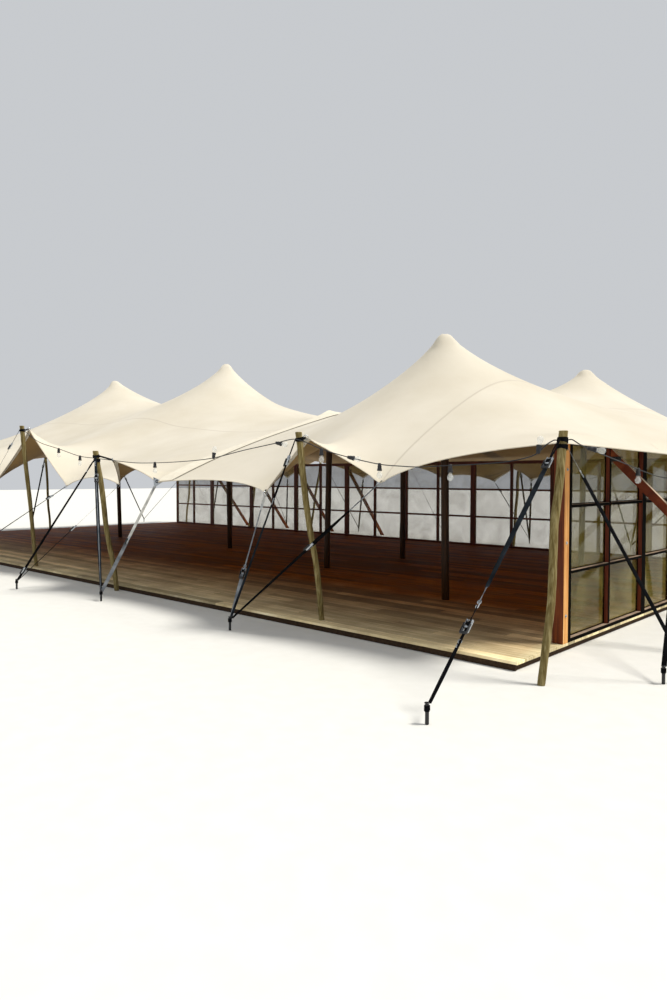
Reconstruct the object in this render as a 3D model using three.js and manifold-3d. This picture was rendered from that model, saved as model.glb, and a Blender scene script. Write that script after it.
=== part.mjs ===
// A stretch tent: two joined canopies of stretch fabric over a low timber floor, held up by
// timber poles and down by webbing guys to steel stakes, with window walls on two sides.
// Millimetres, +Z up. The open front faces -Y and the origin is on the ground under the
// middle of the floor.
import * as THREE from 'three';
import { mergeVertices } from 'three/addons/utils/BufferGeometryUtils.js';
import Module from 'manifold-3d';

const wasm = await Module();
wasm.setup();

// Driving dimensions
const FLOOR_LENGTH = 18300;
const FLOOR_DEPTH = 9100;
const FLOOR_TOP = 83;
const WINDOW_BAY = 2000;
const WALL_TOP = 2059;
const GAP = 0.3;

// A place measured from the floor's front right corner: u to the left along the front,
// v to the back, and z up from the ground.
function at(u, v, z) {
  return new THREE.Vector3(FLOOR_LENGTH / 2 - u, v - FLOOR_DEPTH / 2, z);
}

function onFloor(u, v) {
  return at(u, v, FLOOR_TOP);
}

function onGround(u, v) {
  return at(u, v, 0);
}

// The canopy fabric is followed on a square grid of lines, LINE_STEP apart before stretching.
// Each support holds the crossing of one column and one row.
const LINE_STEP = 100;
const COLUMNS = 197;
const ROWS = 101;
const FIRST_COLUMN_U = -500;
const FIRST_ROW_V = -100;
const LAST_ROW = ROWS - 1;
const LAST_COLUMN = COLUMNS - 1;
const JOIN_COLUMN = 60;
const FLAP_COLUMN = 57;
const FABRIC_THICKNESS = 12;
const FLAP_CLEARANCE = 0.5;

// Inner poles: foot, the peak that each makes, and the crossing over it.
const INNER_POLE_RADIUS = 52;
const INNER_POLES = {
  right_front: { foot: onFloor(2230, 2220), peak: at(2260, 2200, 3520), line: [28, 24] },
  right_rear: { foot: onFloor(2340, 6640), peak: at(2340, 6700, 3575), line: [28, 68] },
  join_front: { foot: onFloor(5560, 3490), peak: at(5520, 3520, 2830), line: [60, 36] },
  join_rear: { foot: onFloor(5490, 5580), peak: at(5490, 5580, 2840), line: [60, 56] },
  left_near: { foot: onFloor(9550, 4540), peak: at(9590, 4490, 4188), line: [100, 44] },
  left_far: { foot: onFloor(13940, 4380), peak: at(13990, 4300, 4197), line: [144, 44] },
};

// Edge poles: foot, head, the ring of the canopy that is tied to the head, and its crossing.
const EDGE_POLE_RADIUS = 45;
const EDGE_POLES = {
  front_1: [onGround(-330, -220), at(-330, 130, 2060), at(-290, 210, 1970), [0, 0]],
  front_2: [onFloor(2480, 150), at(2480, -210, 2150), at(2480, -100, 2100), [28, 0]],
  front_3: [onGround(6450, -70), at(6450, -390, 2040), at(6450, -120, 1920), [68, 0]],
  front_4: [onFloor(9510, 120), at(9510, -110, 2560), at(9480, 0, 2510), [100, 0]],
  front_5: [onFloor(12800, 120), at(12800, -190, 2160), at(12800, -80, 2110), [132, 0]],
  front_6: [onFloor(16000, 120), at(16000, -160, 2460), at(16000, -50, 2400), [164, 0]],
  front_7: [onGround(18960, -120), at(19100, -80, 2120), at(19010, 0, 2060), [196, 0]],
  left: [onGround(18960, 4850), at(19230, 4850, 2360), at(19110, 4850, 2300), [196, 48]],
  rear_7: [onGround(18960, 10060), at(19120, 10390, 2120), at(19040, 10290, 2060), [196, 100]],
  rear_6: [onGround(15300, 9980), at(15300, 10460, 2450), at(15300, 10340, 2390), [156, 100]],
  rear_5: [onGround(12400, 9980), at(12400, 10460, 2295), at(12400, 10340, 2235), [128, 100]],
  rear_4: [onGround(8780, 9800), at(9120, 10430, 2275), at(9080, 10320, 2215), [96, 100]],
  rear_3: [onGround(5440, 9880), at(5590, 10420, 2040), at(5600, 10320, 1960), [60, 100]],
  rear_2: [onGround(2480, 9980), at(2480, 10460, 2110), at(2480, 10340, 2050), [28, 100]],
  rear_1: [onGround(-330, 9980), at(-520, 10370, 2065), at(-440, 10270, 1995), [0, 100]],
  right: [onGround(-430, 4850), at(-820, 4850, 2295), at(-690, 4850, 2235), [0, 48]],
};

// Low points of the edge, where a strap pulls the fabric down between the poles.
const LOW_POINTS = {
  front_a: { ring: at(1530, 0, 1620), line: [20, 0] },
  front_b: { ring: at(3240, 0, 1500), line: [36, 0] },
  front_c: { ring: at(5490, 0, 1600), line: [60, 0] },
  front_d: { ring: at(6900, 250, 1550), line: [76, 0] },
  front_e: { ring: at(8500, 200, 1520), line: [88, 0] },
  front_f: { ring: at(11200, 100, 1560), line: [116, 0] },
  front_g: { ring: at(14400, 100, 1560), line: [148, 0] },
  front_h: { ring: at(17500, 100, 1580), line: [180, 0] },
  left_a: { ring: at(19000, 2350, 1780), line: [196, 24] },
  left_b: { ring: at(19000, 7450, 1850), line: [196, 72] },
  rear_h: { ring: at(17200, 10200, 1720), line: [176, 100] },
  rear_g: { ring: at(13650, 10200, 1655), line: [140, 100] },
  rear_f: { ring: at(10450, 10200, 1660), line: [108, 100] },
  rear_e: { ring: at(7700, 10190, 1660), line: [80, 100] },
  rear_d: { ring: at(6150, 10200, 1580), line: [68, 100] },
  rear_c: { ring: at(5150, 10200, 1620), line: [56, 100] },
  rear_b: { ring: at(3240, 10200, 1650), line: [36, 100] },
  rear_a: { ring: at(1530, 10200, 1480), line: [20, 100] },
  right_b: { ring: at(-620, 7400, 1560), line: [0, 72] },
  right_a: { ring: at(-620, 2350, 1900), line: [0, 24] },
};

// Each stake holds the straps that come down from these pole heads and low points.
const GUYS = [
  { name: 'guy_front_1', stake: onGround(-190, -1600), heads: ['front_1'], lows: [] },
  { name: 'guy_front_2', stake: onGround(3110, -640), heads: ['front_2'], lows: ['front_a', 'front_b'] },
  { name: 'guy_front_3', stake: onGround(5800, -680), heads: ['front_3'], lows: ['front_c'] },
  { name: 'guy_front_4', stake: onGround(7650, -1020), heads: ['front_3'], lows: ['front_d'] },
  { name: 'guy_front_5', stake: onGround(9900, -1300), heads: ['front_4'], lows: ['front_e'] },
  { name: 'guy_front_6', stake: onGround(12250, -1250), heads: ['front_5'], lows: ['front_f'] },
  { name: 'guy_front_7', stake: onGround(15450, -1250), heads: ['front_6'], lows: ['front_g'] },
  { name: 'guy_front_8', stake: onGround(18750, -2000), heads: ['front_7'], lows: ['front_h'] },
  { name: 'guy_left_1', stake: onGround(20300, 950), heads: ['front_7'], lows: ['left_a'] },
  { name: 'guy_left_2', stake: onGround(20300, 4850), heads: ['left'], lows: [] },
  { name: 'guy_left_3', stake: onGround(20300, 9100), heads: ['rear_7'], lows: ['left_b'] },
  { name: 'guy_rear_8', stake: onGround(18750, 11100), heads: ['rear_7'], lows: ['rear_h'] },
  { name: 'guy_rear_7', stake: onGround(14650, 11100), heads: ['rear_6'], lows: ['rear_g'] },
  { name: 'guy_rear_6', stake: onGround(11400, 11100), heads: ['rear_5'], lows: ['rear_f'] },
  { name: 'guy_rear_5', stake: onGround(8250, 11100), heads: ['rear_4'], lows: ['rear_e'] },
  { name: 'guy_rear_4', stake: onGround(5650, 11100), heads: ['rear_3'], lows: ['rear_d', 'rear_c'] },
  { name: 'guy_rear_3', stake: onGround(3110, 11100), heads: ['rear_2'], lows: ['rear_b', 'rear_a'] },
  { name: 'guy_rear_1', stake: onGround(-190, 11100), heads: ['rear_1'], lows: [] },
  { name: 'guy_right_4', stake: onGround(-1700, 9300), heads: ['rear_1'], lows: ['right_b'] },
  { name: 'guy_right_3', stake: onGround(-2000, 4850), heads: ['right'], lows: [] },
  { name: 'guy_right_2', stake: onGround(-1040, 490), heads: [], lows: ['right_a'] },
  { name: 'guy_right_1', stake: onGround(-1180, 620), heads: ['front_1'], lows: [] },
];

// The lamp cables are tied to the heads of the poles and hang between them. One runs along the
// front from the fourth pole to the corner, the other from the corner along the right side.
const CABLE_RADIUS = 5;
const CABLE_ROUTES = {
  lamp_cable_front: [
    at(9460.2, -103, 2485),
    at(9430, -103, 2485),
    at(9280, -140, 2440),
    at(8700, -175, 2250),
    at(8000, -180, 2120),
    at(7290, -200, 1990),
    at(6820, -210, 1950),
    at(6450, -215, 1922),
    at(5780, -200, 1870),
    at(5260, -200, 1860),
    at(4560, -210, 1870),
    at(3970, -220, 1900),
    at(3350, -240, 1980),
    at(2790, -270, 2040),
    at(2480, -280, 2075),
    at(2300, -250, 2030),
    at(2130, -210, 1960),
    at(1790, -160, 1870),
    at(1430, -130, 1800),
    at(1200, -110, 1780),
    at(980, -80, 1770),
    at(690, -60, 1780),
    at(380, -40, 1790),
    at(100, -20, 1810),
    at(-120, 20, 1860),
    at(-200, 90, 1950),
    at(-250, 117, 1985.5),
    at(-280.2, 117.4, 1986),
  ],
  lamp_cable_side: [
    at(-379.8, 117.4, 1986),
    at(-412, 117.4, 1986),
    at(-430, 250, 1945),
    at(-430, 690, 1880),
    at(-440, 1170, 1810),
    at(-450, 1630, 1740),
    at(-460, 2150, 1680),
    at(-480, 2750, 1660),
    at(-520, 3400, 1720),
    at(-600, 4000, 1860),
    at(-700, 4450, 2040),
    at(-770, 4650, 2150),
    at(-794, 4760, 2187),
    at(-798.3, 4798.4, 2187.5),
  ],
};

// Materials
function finish(color, roughness, metalness = 0) {
  return new THREE.MeshStandardMaterial({ color, roughness, metalness });
}

const fabric = finish(0xd8c9ae, 0.85);
const deckTimber = finish(0x8a5a38, 0.75);
const poleTimber = finish(0x8c8468, 0.85);
const darkTimber = finish(0x3a241a, 0.6);
const frameTimber = finish(0x5a2418, 0.55);
const postTimber = finish(0xa85a28, 0.6);
const webbing = finish(0x1c1d20, 0.8);
const glass = finish(0xb8c4c0, 0.1);
const cableRubber = finish(0x17181a, 0.6);

// Solids
function toSolid(geometry) {
  const plain = geometry.index ? geometry.toNonIndexed() : geometry.clone();
  plain.deleteAttribute('normal');
  plain.deleteAttribute('uv');
  const merged = mergeVertices(plain, 1e-3);
  const vertProperties = new Float32Array(merged.attributes.position.array);
  const triVerts = new Uint32Array(merged.index.array);
  return new wasm.Manifold(new wasm.Mesh({ numProp: 3, vertProperties, triVerts }));
}

function toGeometry(solid) {
  const { vertProperties, triVerts } = solid.getMesh();
  const geometry = new THREE.BufferGeometry();
  geometry.setAttribute('position', new THREE.BufferAttribute(vertProperties, 3));
  geometry.setIndex(new THREE.BufferAttribute(triVerts, 1));
  geometry.computeVertexNormals();
  return geometry;
}

function joined(solids) {
  return solids.reduce((whole, next) => whole.add(next));
}

// A round bar between two points.
function bar(from, to, radius, sides) {
  const along = to.clone().sub(from);
  const geometry = new THREE.CylinderGeometry(radius, radius, along.length(), sides);
  const up = new THREE.Vector3(0, 1, 0);
  geometry.applyQuaternion(new THREE.Quaternion().setFromUnitVectors(up, along.normalize()));
  const middle = from.clone().add(to).multiplyScalar(0.5);
  return geometry.translate(middle.x, middle.y, middle.z);
}

// A flat strap between two points, with its width level.
function strap(from, to, width, thickness) {
  const along = to.clone().sub(from);
  const length = along.length();
  const across = new THREE.Vector3(-along.y, along.x, 0).normalize();
  along.normalize();
  const geometry = new THREE.BoxGeometry(length, width, thickness);
  const turn = new THREE.Matrix4().makeBasis(along, across, along.clone().cross(across));
  const middle = from.clone().add(to).multiplyScalar(0.5);
  return geometry.applyMatrix4(turn).translate(middle.x, middle.y, middle.z);
}

function block(low, high) {
  const size = high.clone().sub(low);
  const middle = high.clone().add(low).multiplyScalar(0.5);
  const geometry = new THREE.BoxGeometry(Math.abs(size.x), Math.abs(size.y), Math.abs(size.z));
  return geometry.translate(middle.x, middle.y, middle.z);
}

// The stretched fabric. Each crossing is drawn towards its four neighbours, the hems and the
// join are stiffer than the cloth, and the cloth stiffens where it is steep, so each peak
// falls away as a hollow cone. The cloth between the join and the next peak is the tautest.
const START_HEIGHT = 2100;
const PLAN_SWEEPS = 400;
const PLAN_OVERSHOOT = 1.93;
const HEIGHT_ROUNDS = 30;
const SWEEPS_A_ROUND = 40;
const HEIGHT_OVERSHOOT = 1.9;
const HEM_PULL = 60;
const JOIN_PULL = 12;
const HEM_STIFFNESS = 15;
const JOIN_STIFFNESS = 6.4;
const STIFFENING = 1.41;
const SLACK_SLOPE = 0.136;
const TAUT_COLUMNS = [62, 92];
const TAUT_FADE = 1.5;
const TAUTNESS = 7;
const PEAK_DROP = 30;
const PEAK_CROWN = [[0, 0], [1, 0], [-1, 0], [0, 1], [0, -1]];

function crossing(column, row) {
  return column * ROWS + row;
}

function supports() {
  const held = new Map();
  for (const [, , ring, line] of Object.values(EDGE_POLES)) {
    held.set(crossing(...line), ring);
  }
  for (const { ring, line } of Object.values(LOW_POINTS)) {
    held.set(crossing(...line), ring);
  }
  for (const { peak, line } of Object.values(INNER_POLES)) {
    for (const [left, back] of PEAK_CROWN) {
      const drop = left || back ? PEAK_DROP : 0;
      const step = new THREE.Vector3(-left * LINE_STEP, back * LINE_STEP, -drop);
      held.set(crossing(line[0] + left, line[1] + back), peak.clone().add(step));
    }
  }
  return held;
}

// Relaxes one coordinate of all crossings under the pulls of the links between them. None
// falls below its least value.
function relax(values, least, held, alongColumns, alongRows, overshoot, sweeps) {
  for (let sweep = 0; sweep < sweeps; sweep++) {
    for (let column = 0; column < COLUMNS; column++) {
      for (let row = 0; row < ROWS; row++) {
        const here = crossing(column, row);
        if (held[here]) continue;
        let pull = 0;
        let total = 0;
        if (column > 0) {
          pull += alongRows[here - ROWS];
          total += alongRows[here - ROWS] * values[here - ROWS];
        }
        if (column < LAST_COLUMN) {
          pull += alongRows[here];
          total += alongRows[here] * values[here + ROWS];
        }
        if (row > 0) {
          pull += alongColumns[here - 1];
          total += alongColumns[here - 1] * values[here - 1];
        }
        if (row < LAST_ROW) {
          pull += alongColumns[here];
          total += alongColumns[here] * values[here + 1];
        }
        const next = values[here] + overshoot * (total / pull - values[here]);
        values[here] = Math.max(next, least[here]);
      }
    }
  }
}

// Fills the pulls of the links from the stiffness of the cloth at each crossing.
function setPulls(stiffness, alongColumns, alongRows, hem, join) {
  for (let column = 0; column < COLUMNS; column++) {
    for (let row = 0; row < ROWS; row++) {
      const here = crossing(column, row);
      const onSide = column === 0 || column === LAST_COLUMN;
      const onEnd = row === 0 || row === LAST_ROW;
      if (column < LAST_COLUMN) {
        alongRows[here] = (stiffness[here] + stiffness[here + ROWS]) / 2 + (onEnd ? hem : 0);
      }
      if (row < LAST_ROW) {
        alongColumns[here] = (stiffness[here] + stiffness[here + 1]) / 2 + (onSide ? hem : 0);
        if (column === JOIN_COLUMN) alongColumns[here] += join;
      }
    }
  }
}

// The fabric rests on the top rails of the window walls, so it stays above them there.
const RAIL_CLEARANCE = 25;
const OVER_RAILS = [
  { from: at(FLOOR_LENGTH + 300, 8550, 0), to: at(-150, 9200, 0) },
  { from: at(400, 700, 0), to: at(-200, 9200, 0) },
];

function leastHeight(x, y) {
  const above = ({ from, to }) => x > from.x && x < to.x && y > from.y && y < to.y;
  return OVER_RAILS.some(above) ? WALL_TOP + RAIL_CLEARANCE : FLOOR_TOP;
}

function slopeSquared(height, column, row) {
  const left = Math.max(column - 1, 0);
  const right = Math.min(column + 1, LAST_COLUMN);
  const front = Math.max(row - 1, 0);
  const back = Math.min(row + 1, LAST_ROW);
  const rise = height[crossing(right, row)] - height[crossing(left, row)];
  const climb = height[crossing(column, back)] - height[crossing(column, front)];
  return (rise / (right - left) / LINE_STEP) ** 2 + (climb / (back - front) / LINE_STEP) ** 2;
}

function tautness(column) {
  const [first, last] = TAUT_COLUMNS;
  const begun = 1 / (1 + Math.exp((first - column) / TAUT_FADE));
  const goesOn = 1 / (1 + Math.exp((column - last) / TAUT_FADE));
  return TAUTNESS ** (begun * goesOn);
}

// How stiff the cloth is at each crossing for its slope, against the middle value of all.
function steepness(height) {
  const steep = new Float64Array(height.length);
  for (let column = 0; column < COLUMNS; column++) {
    for (let row = 0; row < ROWS; row++) {
      const slope = slopeSquared(height, column, row);
      steep[crossing(column, row)] = (SLACK_SLOPE + slope) ** STIFFENING;
    }
  }
  const usual = Float64Array.from(steep).sort()[height.length >> 1];
  return steep.map((value) => value / usual);
}

function stretchFabric() {
  const count = COLUMNS * ROWS;
  const [x, y, z] = [0, 1, 2].map(() => new Float64Array(count));
  const held = new Uint8Array(count);
  const fixed = supports();
  for (let column = 0; column < COLUMNS; column++) {
    for (let row = 0; row < ROWS; row++) {
      const here = crossing(column, row);
      const u = FIRST_COLUMN_U + LINE_STEP * column;
      const v = FIRST_ROW_V + LINE_STEP * row;
      const place = fixed.get(here) ?? at(u, v, START_HEIGHT);
      held[here] = fixed.has(here) ? 1 : 0;
      x[here] = place.x;
      y[here] = place.y;
      z[here] = place.z;
    }
  }
  const stiffness = new Float64Array(count).fill(1);
  const alongColumns = new Float64Array(count);
  const alongRows = new Float64Array(count);
  setPulls(stiffness, alongColumns, alongRows, HEM_PULL, JOIN_PULL);
  const anywhere = new Float64Array(count).fill(-Infinity);
  relax(x, anywhere, held, alongColumns, alongRows, PLAN_OVERSHOOT, PLAN_SWEEPS);
  relax(y, anywhere, held, alongColumns, alongRows, PLAN_OVERSHOOT, PLAN_SWEEPS);
  const least = x.map((_, here) => leastHeight(x[here], y[here]));
  const settled = new Float64Array(count).fill(1);
  for (let round = 0; round < HEIGHT_ROUNDS; round++) {
    if (round > 0) {
      steepness(z).forEach((steep, here) => {
        settled[here] = (settled[here] + steep) / 2;
      });
    }
    for (let here = 0; here < count; here++) {
      stiffness[here] = settled[here] * tautness(Math.floor(here / ROWS));
    }
    setPulls(stiffness, alongColumns, alongRows, HEM_STIFFNESS, JOIN_STIFFNESS);
    relax(z, least, held, alongColumns, alongRows, HEIGHT_OVERSHOOT, SWEEPS_A_ROUND);
  }
  return (column, row) => {
    const here = crossing(column, row);
    return new THREE.Vector3(x[here], y[here], z[here]);
  };
}

const fabricAt = stretchFabric();

function fabricNormal(column, row) {
  const right = fabricAt(Math.max(column - 1, 0), row);
  const left = fabricAt(Math.min(column + 1, LAST_COLUMN), row);
  const front = fabricAt(column, Math.max(row - 1, 0));
  const back = fabricAt(column, Math.min(row + 1, LAST_ROW));
  return back.sub(front).cross(left.sub(right)).normalize();
}

// The direction in which the fabric runs out past its edge, or nothing away from the edges.
function outward(column, row, columns, rows) {
  const out = new THREE.Vector3();
  const from = (c, r) => out.add(fabricAt(column, row).sub(fabricAt(c, r)).normalize());
  if (column === columns[0]) from(column + 1, row);
  if (column === columns.at(-1)) from(column - 1, row);
  if (row === rows[0]) from(column, row + 1);
  if (row === rows.at(-1)) from(column, row - 1);
  return out;
}

// A closed skin over some of the grid's lines, half as thick to each side of the fabric as
// reach says, and grown past its edges. The lift of each column raises it.
function skin(columns, rows, reach, lift, grow = 0) {
  const position = [];
  const index = [];
  for (const side of [reach, -reach]) {
    for (const column of columns) {
      for (const row of rows) {
        const place = fabricAt(column, row);
        place.addScaledVector(fabricNormal(column, row), side + lift(column));
        place.addScaledVector(outward(column, row, columns, rows), grow);
        position.push(...place.toArray());
      }
    }
  }
  const layer = columns.length * rows.length;
  const vertex = (c, r, side) => side * layer + c * rows.length + r;
  const quad = (a, b, c, d) => index.push(a, b, c, a, c, d);
  for (let c = 0; c + 1 < columns.length; c++) {
    for (let r = 0; r + 1 < rows.length; r++) {
      quad(vertex(c, r, 0), vertex(c, r + 1, 0), vertex(c + 1, r + 1, 0), vertex(c + 1, r, 0));
      quad(vertex(c, r, 1), vertex(c + 1, r, 1), vertex(c + 1, r + 1, 1), vertex(c, r + 1, 1));
    }
  }
  const lastC = columns.length - 1;
  const lastR = rows.length - 1;
  for (let c = 0; c < lastC; c++) {
    quad(vertex(c, 0, 0), vertex(c + 1, 0, 0), vertex(c + 1, 0, 1), vertex(c, 0, 1));
    quad(vertex(c, lastR, 0), vertex(c, lastR, 1), vertex(c + 1, lastR, 1), vertex(c + 1, lastR, 0));
  }
  for (let r = 0; r < lastR; r++) {
    quad(vertex(0, r, 0), vertex(0, r, 1), vertex(0, r + 1, 1), vertex(0, r + 1, 0));
    quad(vertex(lastC, r, 0), vertex(lastC, r + 1, 0), vertex(lastC, r + 1, 1), vertex(lastC, r, 1));
  }
  const geometry = new THREE.BufferGeometry();
  geometry.setAttribute('position', new THREE.Float32BufferAttribute(position, 3));
  geometry.setIndex(index);
  geometry.computeVertexNormals();
  return geometry;
}

const SKIN_STEP = 4;

function linesBetween(first, last, extra) {
  const lines = new Set([first, last, ...extra.filter((line) => line > first && line < last)]);
  for (let line = Math.ceil(first / SKIN_STEP) * SKIN_STEP; line <= last; line += SKIN_STEP) {
    lines.add(line);
  }
  return [...lines].sort((a, b) => a - b);
}

const peakColumns = Object.values(INNER_POLES).map(({ line }) => line[0]);
const peakRows = Object.values(INNER_POLES).map(({ line }) => line[1]);
const skinRows = linesBetween(0, LAST_ROW, peakRows);
const rightColumns = linesBetween(0, JOIN_COLUMN, [...peakColumns, FLAP_COLUMN]);
const leftColumns = linesBetween(FLAP_COLUMN, LAST_COLUMN, [...peakColumns, JOIN_COLUMN]);
const flapLift = FABRIC_THICKNESS + FLAP_CLEARANCE;

function leftLift(column) {
  return column <= JOIN_COLUMN ? flapLift : 0;
}

const half = FABRIC_THICKNESS / 2;
const noLift = () => 0;
const rightCanopy = skin(rightColumns, skinRows, half, noLift);
const leftCanopy = skin(leftColumns, skinRows, half, leftLift);
const canopyRoom = joined([
  toSolid(skin(rightColumns, skinRows, half + 2 * GAP, noLift, 2 * GAP)),
  toSolid(skin(leftColumns, skinRows, half + 2 * GAP, leftLift, 2 * GAP)),
]);

// Cuts a solid clear of the canopies and keeps the part that stands below them.
function belowCanopy(solid) {
  const parts = solid.subtract(canopyRoom).decompose();
  parts.sort((a, b) => a.boundingBox().min[2] - b.boundingBox().min[2]);
  return parts[0];
}

const tent = new THREE.Group();

function add(name, geometry, material) {
  const mesh = new THREE.Mesh(geometry, material);
  mesh.name = name;
  tent.add(mesh);
}

// Floor
add('floor_deck', block(at(0, 0, 0), at(FLOOR_LENGTH, FLOOR_DEPTH, FLOOR_TOP)), deckTimber);

// Canopies
add('canopy_right', rightCanopy, fabric);
add('canopy_left', leftCanopy, fabric);

// A round pole whose foot is cut level where it stands.
const BURIED = 100;
const belowLevel = (z) => toSolid(block(
  new THREE.Vector3(-FLOOR_LENGTH, -FLOOR_LENGTH, z - FLOOR_LENGTH),
  new THREE.Vector3(FLOOR_LENGTH, FLOOR_LENGTH, z),
));

function pole(foot, head, radius, sides) {
  const lean = head.clone().sub(foot).normalize();
  const start = foot.clone().addScaledVector(lean, -BURIED);
  const bottom = foot.z > 0 ? foot.z + GAP : 0;
  return toSolid(bar(start, head, radius, sides)).subtract(belowLevel(bottom));
}

// Inner poles, which stand on the floor and carry the fabric
const INNER_POLE_SIDES = 12;
for (const [place, { foot, peak }] of Object.entries(INNER_POLES)) {
  const shaft = pole(foot, peak, INNER_POLE_RADIUS, INNER_POLE_SIDES);
  add(`inner_pole_${place}`, toGeometry(belowCanopy(shaft)), darkTimber);
}

// Edge poles
const EDGE_POLE_SIDES = 10;

function edgePole([foot, head], radius) {
  return pole(foot, head, radius, EDGE_POLE_SIDES);
}

for (const [place, shape] of Object.entries(EDGE_POLES)) {
  add(`edge_pole_${place}`, toGeometry(belowCanopy(edgePole(shape, EDGE_POLE_RADIUS))), poleTimber);
}

// Guys: a steel stake with its webbing straps, each sewn round a pole's head or hooked into a
// ring in the hem
const STAKE_RADIUS = 14;
const STAKE_HEIGHT = 150;
const STRAP_HEIGHT = 110;
const LOOP_RADIUS = 32;
const LOOP_HEIGHT = 40;
const STRAP_WIDTH = 45;
const STRAP_THICKNESS = 8;
const RING_RADIUS = 30;
const COLLAR_RADIUS = EDGE_POLE_RADIUS + 7;
const COLLAR_DROP = 75;
const COLLAR_HEIGHT = 50;
const COLLAR_PITCH = 60;
const SEAM_DEPTH = 2;
const collarsOn = new Map();

// The first collar on a pole's head also holds the canopy's ring, and the next sits under it.
function guy({ stake, heads, lows }) {
  const top = stake.clone().add(new THREE.Vector3(0, 0, STAKE_HEIGHT));
  const hook = stake.clone().add(new THREE.Vector3(0, 0, STRAP_HEIGHT));
  const loopLow = stake.clone().add(new THREE.Vector3(0, 0, STRAP_HEIGHT - LOOP_HEIGHT / 2));
  const loopHigh = stake.clone().add(new THREE.Vector3(0, 0, STRAP_HEIGHT + LOOP_HEIGHT / 2));
  const pieces = [
    toSolid(bar(stake, top, STAKE_RADIUS, 8)),
    toSolid(bar(loopLow, loopHigh, LOOP_RADIUS, 8)),
  ];
  const poles = [];
  for (const place of heads) {
    const [foot, head, ring] = EDGE_POLES[place];
    const lean = head.clone().sub(foot).normalize();
    const above = collarsOn.get(place) ?? 0;
    collarsOn.set(place, above + 1);
    const middle = head.clone().addScaledVector(lean, -COLLAR_DROP - above * COLLAR_PITCH);
    const low = middle.clone().addScaledVector(lean, -COLLAR_HEIGHT / 2);
    const high = middle.clone().addScaledVector(lean, COLLAR_HEIGHT / 2);
    pieces.push(toSolid(bar(low, high, COLLAR_RADIUS, EDGE_POLE_SIDES)));
    const towards = hook.clone().sub(middle);
    towards.addScaledVector(lean, -towards.dot(lean)).normalize();
    const seam = middle.clone().addScaledVector(towards, COLLAR_RADIUS - SEAM_DEPTH);
    pieces.push(toSolid(strap(hook, seam, STRAP_WIDTH, STRAP_THICKNESS)));
    if (above === 0) pieces.push(toSolid(strap(middle, ring, STRAP_WIDTH / 2, STRAP_THICKNESS)));
    poles.push(edgePole(EDGE_POLES[place], EDGE_POLE_RADIUS + GAP));
  }
  for (const place of lows) {
    const { ring } = LOW_POINTS[place];
    const end = ring.clone().add(new THREE.Vector3(0, 0, -RING_RADIUS));
    pieces.push(toSolid(strap(hook, end, STRAP_WIDTH, STRAP_THICKNESS)));
    pieces.push(toSolid(bar(end, ring, RING_RADIUS, 8)));
  }
  return joined(pieces).subtract(joined([canopyRoom, ...poles]));
}

for (const line of GUYS) {
  const parts = guy(line).decompose();
  parts.sort((a, b) => b.volume() - a.volume());
  add(line.name, toGeometry(parts[0]), webbing);
}

// Window walls: thick posts at every bay, a thin bar halfway, four rails and raking braces
const WALL_DEPTH = 70;
const RIGHT_WALL_START = 990;
const BACK_WALL_V = 8990;
const BACK_RUN_BAYS = 3;
const RIGHT_WALL_BAYS = 4;
const RIGHT_BRACES = 3;
const POST_WIDTH = 120;
const BAR_WIDTH = 45;
const BAR_INSET = 5;
const RAILS = [[FLOOR_TOP + GAP, 150], [735, 785], [1375, 1425], [1985, WALL_TOP]];
const BRACE_WIDTH = 45;
const BRACE_DEPTH = 90;
const BRACE_TOP = 2000;
const BRACE_INSET = 10;
const BACK_BRACE_REACH = 1640;
const RIGHT_BRACE_REACH = 2040;
const PANE_THICKNESS = 6;

function box(x, y, z) {
  return block(new THREE.Vector3(x[0], y[0], z[0]), new THREE.Vector3(x[1], y[1], z[1]));
}

// A raking brace from the wall's outside down to the ground, in the wall's own frame. Its ends
// are cut upright against the wall and level on the ground.
function brace(x, reach) {
  const face = WALL_DEPTH - BRACE_INSET;
  const run = reach - face;
  const rake = Math.hypot(run, BRACE_TOP);
  const outline = new THREE.Shape([
    new THREE.Vector2(face, BRACE_TOP),
    new THREE.Vector2(face, BRACE_TOP - BRACE_DEPTH * rake / run),
    new THREE.Vector2(reach - BRACE_DEPTH * rake / BRACE_TOP, 0),
    new THREE.Vector2(reach, 0),
  ]);
  const geometry = new THREE.ExtrudeGeometry(outline, {
    depth: BRACE_WIDTH,
    bevelEnabled: false,
  });
  const turn = new THREE.Matrix4().makeBasis(
    new THREE.Vector3(0, 1, 0),
    new THREE.Vector3(0, 0, 1),
    new THREE.Vector3(1, 0, 0),
  );
  return geometry.applyMatrix4(turn).translate(x - BRACE_WIDTH / 2, 0, 0);
}

// A wall in its own frame: x along it, y to the outside, and z up.
function windowWall(length, posts, braces, reach) {
  const pieces = RAILS.map((height) => box([0, length], [0, WALL_DEPTH], height));
  const height = [FLOOR_TOP + GAP, WALL_TOP];
  for (const x of posts) {
    const ends = [Math.max(x - POST_WIDTH / 2, 0), Math.min(x + POST_WIDTH / 2, length)];
    pieces.push(box(ends, [0, WALL_DEPTH], height));
    const middle = x + WINDOW_BAY / 2;
    if (middle < length) {
      const sides = [middle - BAR_WIDTH / 2, middle + BAR_WIDTH / 2];
      pieces.push(box(sides, [BAR_INSET, WALL_DEPTH - BAR_INSET], height));
    }
  }
  pieces.push(...braces.map((x) => brace(x, reach)));
  return toGeometry(joined(pieces.map(toSolid)));
}

function pane(length) {
  return box([0, length], [-GAP - PANE_THICKNESS, -GAP], [FLOOR_TOP + GAP, WALL_TOP - 1]);
}

// Stands a piece made in a wall's own frame in its place.
function stand(geometry, along, out, start) {
  const turn = new THREE.Matrix4().makeBasis(along, out, new THREE.Vector3(0, 0, 1));
  return geometry.applyMatrix4(turn).translate(start.x, start.y, start.z);
}

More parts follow.
